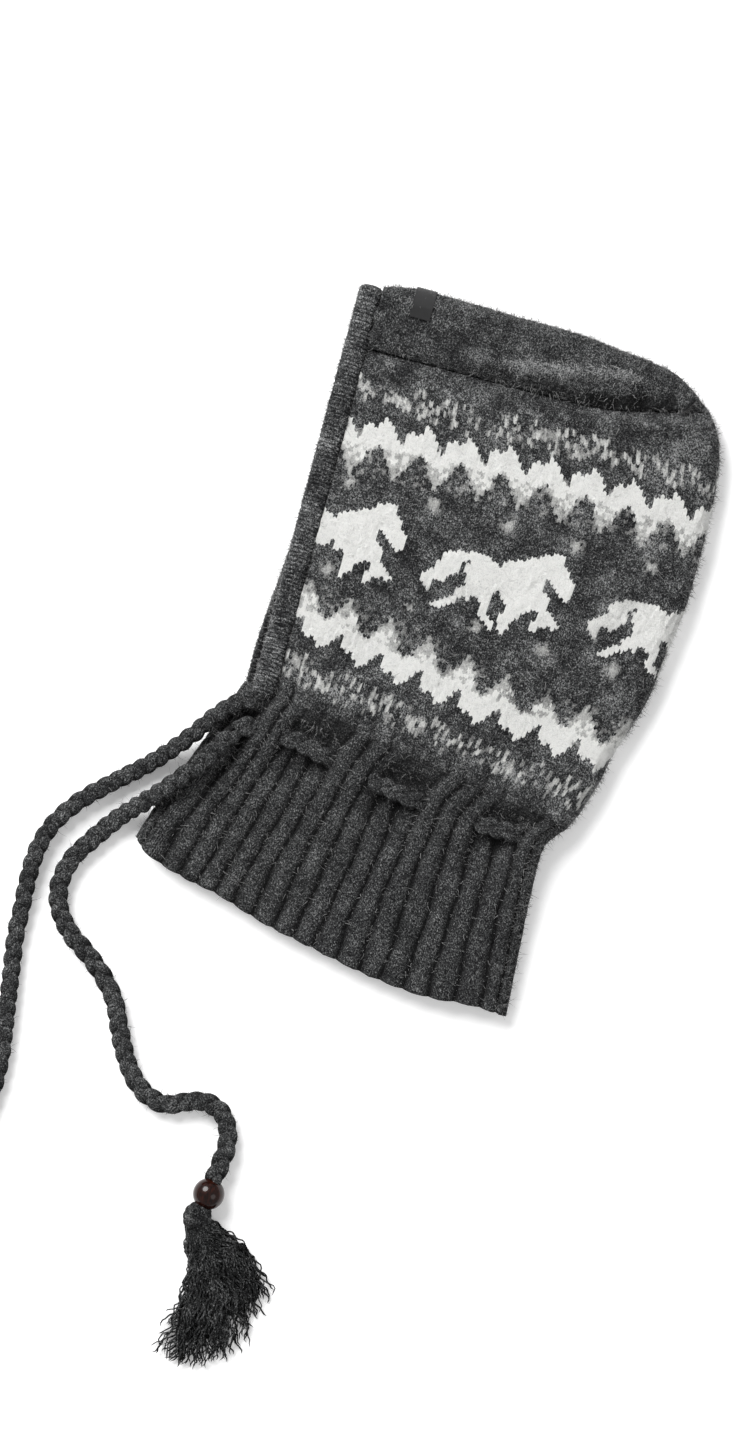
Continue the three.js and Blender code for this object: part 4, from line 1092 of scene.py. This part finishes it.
def ribbed_neck():
    """Round ribs with narrow furrows: inset = depth · (1 − rib shape), ridge on every even u. The
    hem's ribs end in small scallops. Quads that the cord passes through are left out."""
    columns = 2 * (RIB_STEPS + RIM_STEPS) * COLUMNS_PER_STEP
    row, column = np.meshgrid(np.arange(NECK_ROWS + 1.0), np.arange(columns + 0.0), indexing="ij")
    s, u = row / NECK_ROWS, column / COLUMNS_PER_STEP
    wander = 0.10 * np.sin(s * 9 + u * 0.7) + 0.06 * np.sin(s * 23 + u * 2.1)
    across = lerp(NECK_ROUND, 1 - NECK_ROUND, rib_place(u))
    floats = float_share(NEAR_FLOATS, across) * (u < RIB_STEPS)
    plain = floats * (1 - smooth(-0.03, 0.02, s - cord_line(across)))
    rib = lerp(rib_shape(u + wander), 0.86, 0.85 * plain)
    depth = lerp(*FURROW_DEPTHS, s)
    s = s - (1 - rib) * SCALLOP * smooth(0.85, 1, s)
    points = neck_point(u, s, depth * (1 - rib) + 0.15 * ripple(u * 6, s * 120, 9, 5) + 0.15
                        + np.random.default_rng(6).normal(0, 0.2, rib.shape))
    points[..., 2] = np.maximum(points[..., 2], 0)
    faces, flat = grid_faces(NECK_ROWS + 1, columns, closed_cols=True)
    v, c = np.divmod(flat, columns + 1)
    uv = np.stack([c / COLUMNS_PER_STEP * 2, v * 0.9], -1)
    solid_points = points.reshape(-1, 3)
    centre = solid_points[faces].mean(axis=1)
    near = np.min(np.linalg.norm(centre[:, None] - path_threaded[None, ::3], axis=-1), axis=1)
    keep = near > EYELET
    # Painted shade in the furrows and in the stretches pressed in above and below each float
    below = s - cord_line(across)
    pressed = floats * np.where(below < 0, SHADE_ABOVE_CORD, SHADE_BELOW_CORD * (1 - smooth(0, 0.16, below)))
    hollow = -(FURROW_SHADE * (1 - rib) ** 0.95 + pressed)[v, c % columns]
    piece = add_piece("neck_knit", solid_points, faces[keep], uv[keep], hollow[keep],
                      replaces=["neck_rib"])
    solid = piece.modifiers.new("wall", "SOLIDIFY")
    solid.thickness = NECK_WALL * MM
    solid.offset = -1
    return give(piece, rib_wool), flat_size(points)


neck, neck_flat = ribbed_neck()

# Beads and tassels

bead_wood = polished_wood("bead_wood")
tassel_yarn = wool("tassel_yarn", darkness=0.4, stitched=False, relief=0.0005)


# Half width and half length of a tassel's knitted head, how far the head reaches into the bead's foot,
# a strand's radius, the samples along it, and the locks that the strands lie in, in two layers
HEAD_RADIUS = 8.0
HEAD_REACH = 8.9
HEAD_TUCK = 2.6
STRAND_RADIUS = 0.76
STRAND_STEPS = 38
LOCKS = 24


def turned(points, end):
    """Turns points about +Z by the end's heading and moves them to its place."""
    x, y, heading = end
    c, s = np.cos(np.radians(heading)), np.sin(np.radians(heading))
    return points @ np.array([(c, s, 0), (-s, c, 0), (0, 0, 1.0)]) + (x, y, 0)


def bead(name, end, node):
    """A ball turned about the tassel's axis with a bore: r·(sin a, −cos a) from rim to rim, then back
    along the bore."""
    radius, bore = BEAD_DIAMETER / 2, BEAD_BORE / 2
    start = np.arcsin(bore / radius)
    angle = np.linspace(start, np.pi - start, 40)
    ring, along = radius * np.sin(angle), -radius * np.cos(angle)
    inner = np.linspace(along[-1], along[0], 8)[1:-1]
    ring, along = np.concatenate([ring, bore + 0 * inner]), np.concatenate([along, inner])
    spin = np.linspace(0, 2 * np.pi, 64, endpoint=False)
    points = np.stack([ring[:, None] * np.cos(spin), along[:, None] + 0 * spin,
                       radius + ring[:, None] * np.sin(spin)], -1)
    faces, _ = grid_faces(len(ring), 64, closed_rows=True, closed_cols=True)
    piece = add_piece(name, turned(points.reshape(-1, 3), end), faces, replaces=[node])
    return give(piece, bead_wood)


def tassel(name, end, node, fan, strands, seed):
    """A knitted head, a lumpy ball of revolution, and a skirt of kinked strands. A strand's place is
    the running sum of steps along a heading that turns evenly from head to tip, plus two crimps
    across it."""
    rng = np.random.default_rng(seed)
    centre = BEAD_DIAMETER / 2 + TASSEL_HEAD_LENGTH / 2 - HEAD_TUCK
    around = np.linspace(0, 2 * np.pi, 56, endpoint=False)
    a, b = np.meshgrid(np.linspace(0, np.pi, 48), around, indexing="ij")
    lumps = 1 + 0.05 * np.sin(7 * b + 3 * np.cos(a)) * np.sin(a)
    lumps = lumps + 0.06 * np.abs(np.sin(6 * a + 0.6 * np.sin(2 * b)))
    head = np.stack([HEAD_RADIUS * lumps * np.sin(a) * np.cos(b), centre - HEAD_REACH * lumps * np.cos(a),
                     BEAD_DIAMETER / 2 + HEAD_RADIUS * lumps * np.sin(a) * np.sin(b)], -1).reshape(-1, 3)
    head_faces, flat = grid_faces(*a.shape, closed_cols=True)
    v, u = np.divmod(flat, a.shape[1] + 1)
    head_uv = np.stack([u / 4, v / 3], -1)

    pick = rng.random(strands)
    leave, land, length = (np.interp(pick * (len(fan) - 1), np.arange(len(fan)), column)
                           for column in np.array(fan, float).T)
    shortest = lerp(0.62, 0.35, pick)
    reach = length * TASSEL_SKIRT * lerp(shortest, 1.03, rng.random(strands) ** 0.6)
    layer = rng.random(strands)[:, None]
    share = np.linspace(0, 1, STRAND_STEPS)
    bend = lerp(2.4, 1.2, pick)[:, None]
    heading = lerp(leave[:, None], land[:, None], share**bend) + rng.normal(0, 5, (strands, 1))
    heading = np.radians(heading)
    walked = reach[:, None] * share
    lock = (pick * (LOCKS - 1)).astype(int)[:, None] + LOCKS * (layer > 0.5)

    def run(part):
        steps = part(heading)[:, 1:] * reach[:, None] / (STRAND_STEPS - 1)
        return np.concatenate([np.zeros((strands, 1)), np.cumsum(steps, axis=1)], axis=1)

    def sway(size, shortest, longest):
        """A wave of the whole lock."""
        wave = rng.uniform(shortest, longest, 2 * LOCKS)[lock]
        return size * np.sin(2 * np.pi * walked / wave + rng.uniform(0, 6.3, 2 * LOCKS)[lock])

    def crimp(size, shortest, longest):
        """A wave of each strand by itself."""
        wave = rng.uniform(shortest, longest, (strands, 1))
        return size * np.sin(2 * np.pi * walked / wave + rng.uniform(0, 6.3, (strands, 1)))

    loose = smooth(0.02, 0.25, share)
    aside = (sway(1.5, 16, 34) + crimp(0.45, 4, 8) + crimp(0.9, 10, 20)) * loose
    aside = aside + rng.uniform(-5.5, 5.5, (strands, 1)) * (1 - smooth(0, 0.5, share))
    x = -run(np.sin) - aside * np.cos(heading)
    y = centre + TASSEL_HEAD_LENGTH * 0.2 + run(np.cos) - aside * np.sin(heading)
    pile = 0.8 + layer * lerp(15.5, 4.0, share**0.8)
    rise = lerp(BEAD_DIAMETER / 2 + 9.5 * (layer - 0.5), pile, smooth(0, 0.45, share))
    z = np.maximum(rise + (crimp(0.5, 4, 9) + sway(1.0, 14, 30)) * loose, 0.7)
    thick = STRAND_RADIUS * rng.uniform(0.75, 1.2, (strands, 1)) * (1 - 0.4 * share**4) + 0 * share
    thick[:, -1] = 0.05
    yarn, yarn_faces, yarn_uv = tubes(np.stack([x, y, z], -1), thick, 3, (0, 0, 1.0))

    # Painted shade on the strands of the lower layer, under the upper ones
    deep = -np.clip(0.85 - layer[:, 0] + rng.uniform(-0.25, 0.25, strands), 0, 0.8)
    hollow = np.concatenate([np.zeros(len(head_faces)), np.repeat(deep, len(yarn_faces) // strands)])
    points, faces = np.vstack([head, yarn]), np.vstack([head_faces, yarn_faces + len(head)])
    uv = np.vstack([head_uv, yarn_uv * (1, 30)])
    piece = add_piece(name, turned(points, end), faces, uv, hollow[:, None] + np.zeros(4), weld=True,
                      replaces=[node])
    return give(piece, tassel_yarn)


# The far skirt spreads evenly round its axis
fan_far = [(1.2 * (leave - 55), 1.2 * (land - 16), length) for leave, land, length in SKIRT_FAN]
bead_near = bead("bead_ball_near", END_NEAR, "bead_near")
bead_far = bead("bead_ball_far", END_FAR, "bead_far")
tassel_near = tassel("tassel_yarns_near", END_NEAR, "tassel_near", SKIRT_FAN, 480, 31)
tassel_far = tassel("tassel_yarns_far", END_FAR, "tassel_far", fan_far, 300, 32)

# Woven tab


def side_tab():
    """A thin strip that follows the crown's section from the near layer round the top fold."""
    share = (TAB_CENTRE - FACE_X) / (TOP_OUTLINE[-1][0] * HOOD_DEPTH - FACE_X)
    seam, rim = crown_plan(share, 0.0), crown_plan(share, 1.0)
    length = rim[1] - seam[1]
    bend = 1 - BODY_FOLD / length
    rim_height = CROWN_HEIGHT * read_table(CROWN_REACH, np.array(bend))
    across = np.linspace(-0.5, 0.5, 17)

    def line(lift):
        t = np.linspace(1 - TAB_LENGTH / length, bend, 24)
        angle = np.pi * (0.5 - np.linspace(0, 0.8, 40)[1:])
        y = np.concatenate([lerp(seam[1], rim[1], t), rim[1] - BODY_FOLD + (BODY_FOLD + lift) * np.cos(angle)])
        z = np.concatenate([CROWN_HEIGHT * read_table(CROWN_REACH, t) + lift,
                            rim_height / 2 + (rim_height / 2 + lift) * np.sin(angle)])
        return y, z

    (low_y, low_z), (high_y, high_z) = line(GAP), line(GAP + TAB_THICKNESS)
    y, z = np.concatenate([high_y, low_y[::-1]]), np.concatenate([high_z, low_z[::-1]])
    x = TAB_CENTRE + TAB_WIDTH * across
    points = np.stack(np.broadcast_arrays(x[None, :], y[:, None], z[:, None]), -1)
    faces, flat = grid_faces(len(y), len(across), closed_rows=True)
    v, u = np.divmod(flat, len(across))
    uv = np.stack([u / 16, v / 63], -1)
    piece = add_piece("tab_woven", points.reshape(-1, 3), faces, uv, replaces=["side_tab"])
    return give(piece, satin("tab_satin"))


side_tab()

# Loose fibres


def loose_fibres(name, wanted, seed):
    """Short bent fibres on the shown faces, most on steep ones: each starts at a face's middle and runs
    for its length along normal · lean plus a random direction, bending by a second one as share².
    wanted holds a piece, its number of fibres and how light its grey ones may be."""
    rng = np.random.default_rng(seed)
    starts, normals, shades = [], [], []
    for piece, count, lightest in wanted:
        mesh = piece.data
        faces = len(mesh.polygons)
        middle, normal, area = np.zeros(faces * 3), np.zeros(faces * 3), np.zeros(faces)
        mesh.polygons.foreach_get("center", middle)
        mesh.polygons.foreach_get("normal", normal)
        mesh.polygons.foreach_get("area", area)
        middle, normal = middle.reshape(-1, 3) / MM, normal.reshape(-1, 3)
        chance = area * (middle[:, 2] > 1.5) * (normal[:, 2] > -0.3)
        chance = chance * (0.35 + 12 * (1 - np.abs(normal[:, 2])) ** 2)
        pick = rng.choice(faces, count, p=chance / chance.sum())
        first = np.zeros(faces, np.int32)
        mesh.polygons.foreach_get("loop_start", first)
        shade = np.zeros(len(mesh.loops))
        if "shade" in mesh.attributes:
            mesh.attributes["shade"].data.foreach_get("value", shade)
        starts.append(middle[pick])
        normals.append(normal[pick])
        # The positive shade only: white yarn, and on the crown the painted light of its ridges
        shades.append(np.clip(shade[first[pick]], 0, 1) + rng.uniform(0, lightest, count))
    start, normal, shade = np.vstack(starts), np.vstack(normals), np.concatenate(shades)
    count = len(start)
    share = np.linspace(0, 1, 3)[None, :, None]
    way = rng.normal(0, 1, (2, count, 3)) * (1, 1, 0.35)
    way /= np.linalg.norm(way, axis=-1, keepdims=True)
    length = 1.1 + 3.2 * rng.random((count, 1, 1)) ** 2.5
    run = normal * rng.uniform(0.25, 0.8, (count, 1)) + way[0] * 0.75
    centres = start[:, None] + length * (share * run[:, None] + 0.55 * share**2 * way[1][:, None])
    centres[..., 2] = np.maximum(centres[..., 2], 0.3)
    radii = rng.uniform(0.1, 0.19, (count, 1)) * (1 - 0.7 * share[..., 0])
    points, faces, uv = tubes(centres, radii, 3, (0.31, 0.17, 0.93))
    value = np.repeat(np.clip(shade, 0, 1), len(faces) // count)[:, None] + np.zeros(4)
    piece = add_piece(name, points, faces, uv, value)
    return give(piece, fibre_paint)


fibre_paint = fuzz_paint("loose_fibre")
loose_fibres("loose_fibres", [(hood_body, 6200, 0.35), (crown, 2600, 0.35), (placket, 3000, 0.35)], 41)
loose_fibres("loose_neck_fibres", [(neck, 4200, 0.3), (tail_near, 1200, 0.25), (tail_far, 1200, 0.25),
                                   (cord_piece, 300, 0.25)], 42)

# Floor and light

FLOOR_REACH = 9000
FLOOR_DROP = 0.2

corners = np.array([(-1, -1), (1, -1), (1, 1), (-1, 1)]) * FLOOR_REACH
floor = add_piece("floor", np.column_stack([corners, np.full(4, -FLOOR_DROP)]), np.array([(0, 1, 2, 3)]))
floor.parent = None
give(floor, paper("floor_paper"))


def area_light(name, place, size, power):
    """A round lamp that looks at the origin."""
    light = bpy.data.lights.new(name, "AREA")
    light.shape, light.size, light.energy = "DISK", size, power
    lamp = bpy.data.objects.new(name, light)
    bpy.context.scene.collection.objects.link(lamp)
    lamp.location = place
    x, y, z = -np.array(place, float)
    lamp.rotation_euler = (np.arctan2(np.hypot(x, y), -z), 0, np.arctan2(y, x) - np.pi / 2)


area_light("key", (-1.35, 1.05, 1.6), size=1.6, power=92)
area_light("fill", (1.5, -0.6, 2.0), size=1.6, power=10)

world = bpy.data.worlds.new("studio")
bpy.context.scene.world = world
world.use_nodes = True
background = world.node_tree.nodes["Background"]
background.inputs["Color"].default_value = (1, 1, 1, 1)
background.inputs["Strength"].default_value = 0.52
bpy.context.scene.view_settings.view_transform = "Standard"

# Worked out and not used: the tails' paths in metres, and for each knit piece the smaller of its area and flat
# size

for piece, path, route, ends in ((tail_near, path_near, TAIL_NEAR_ROUTE, [bead_near, tassel_near]),
                                 (tail_far, path_far, TAIL_FAR_ROUTE, [bead_far, tassel_far])):
    path * MM

for piece, (size, area), held in ((hood_body, body_flat, "folded"), (crown, crown_flat, "folded"),
                                  (neck, neck_flat, "gathered")):
    min(area, size[0] * size[1])
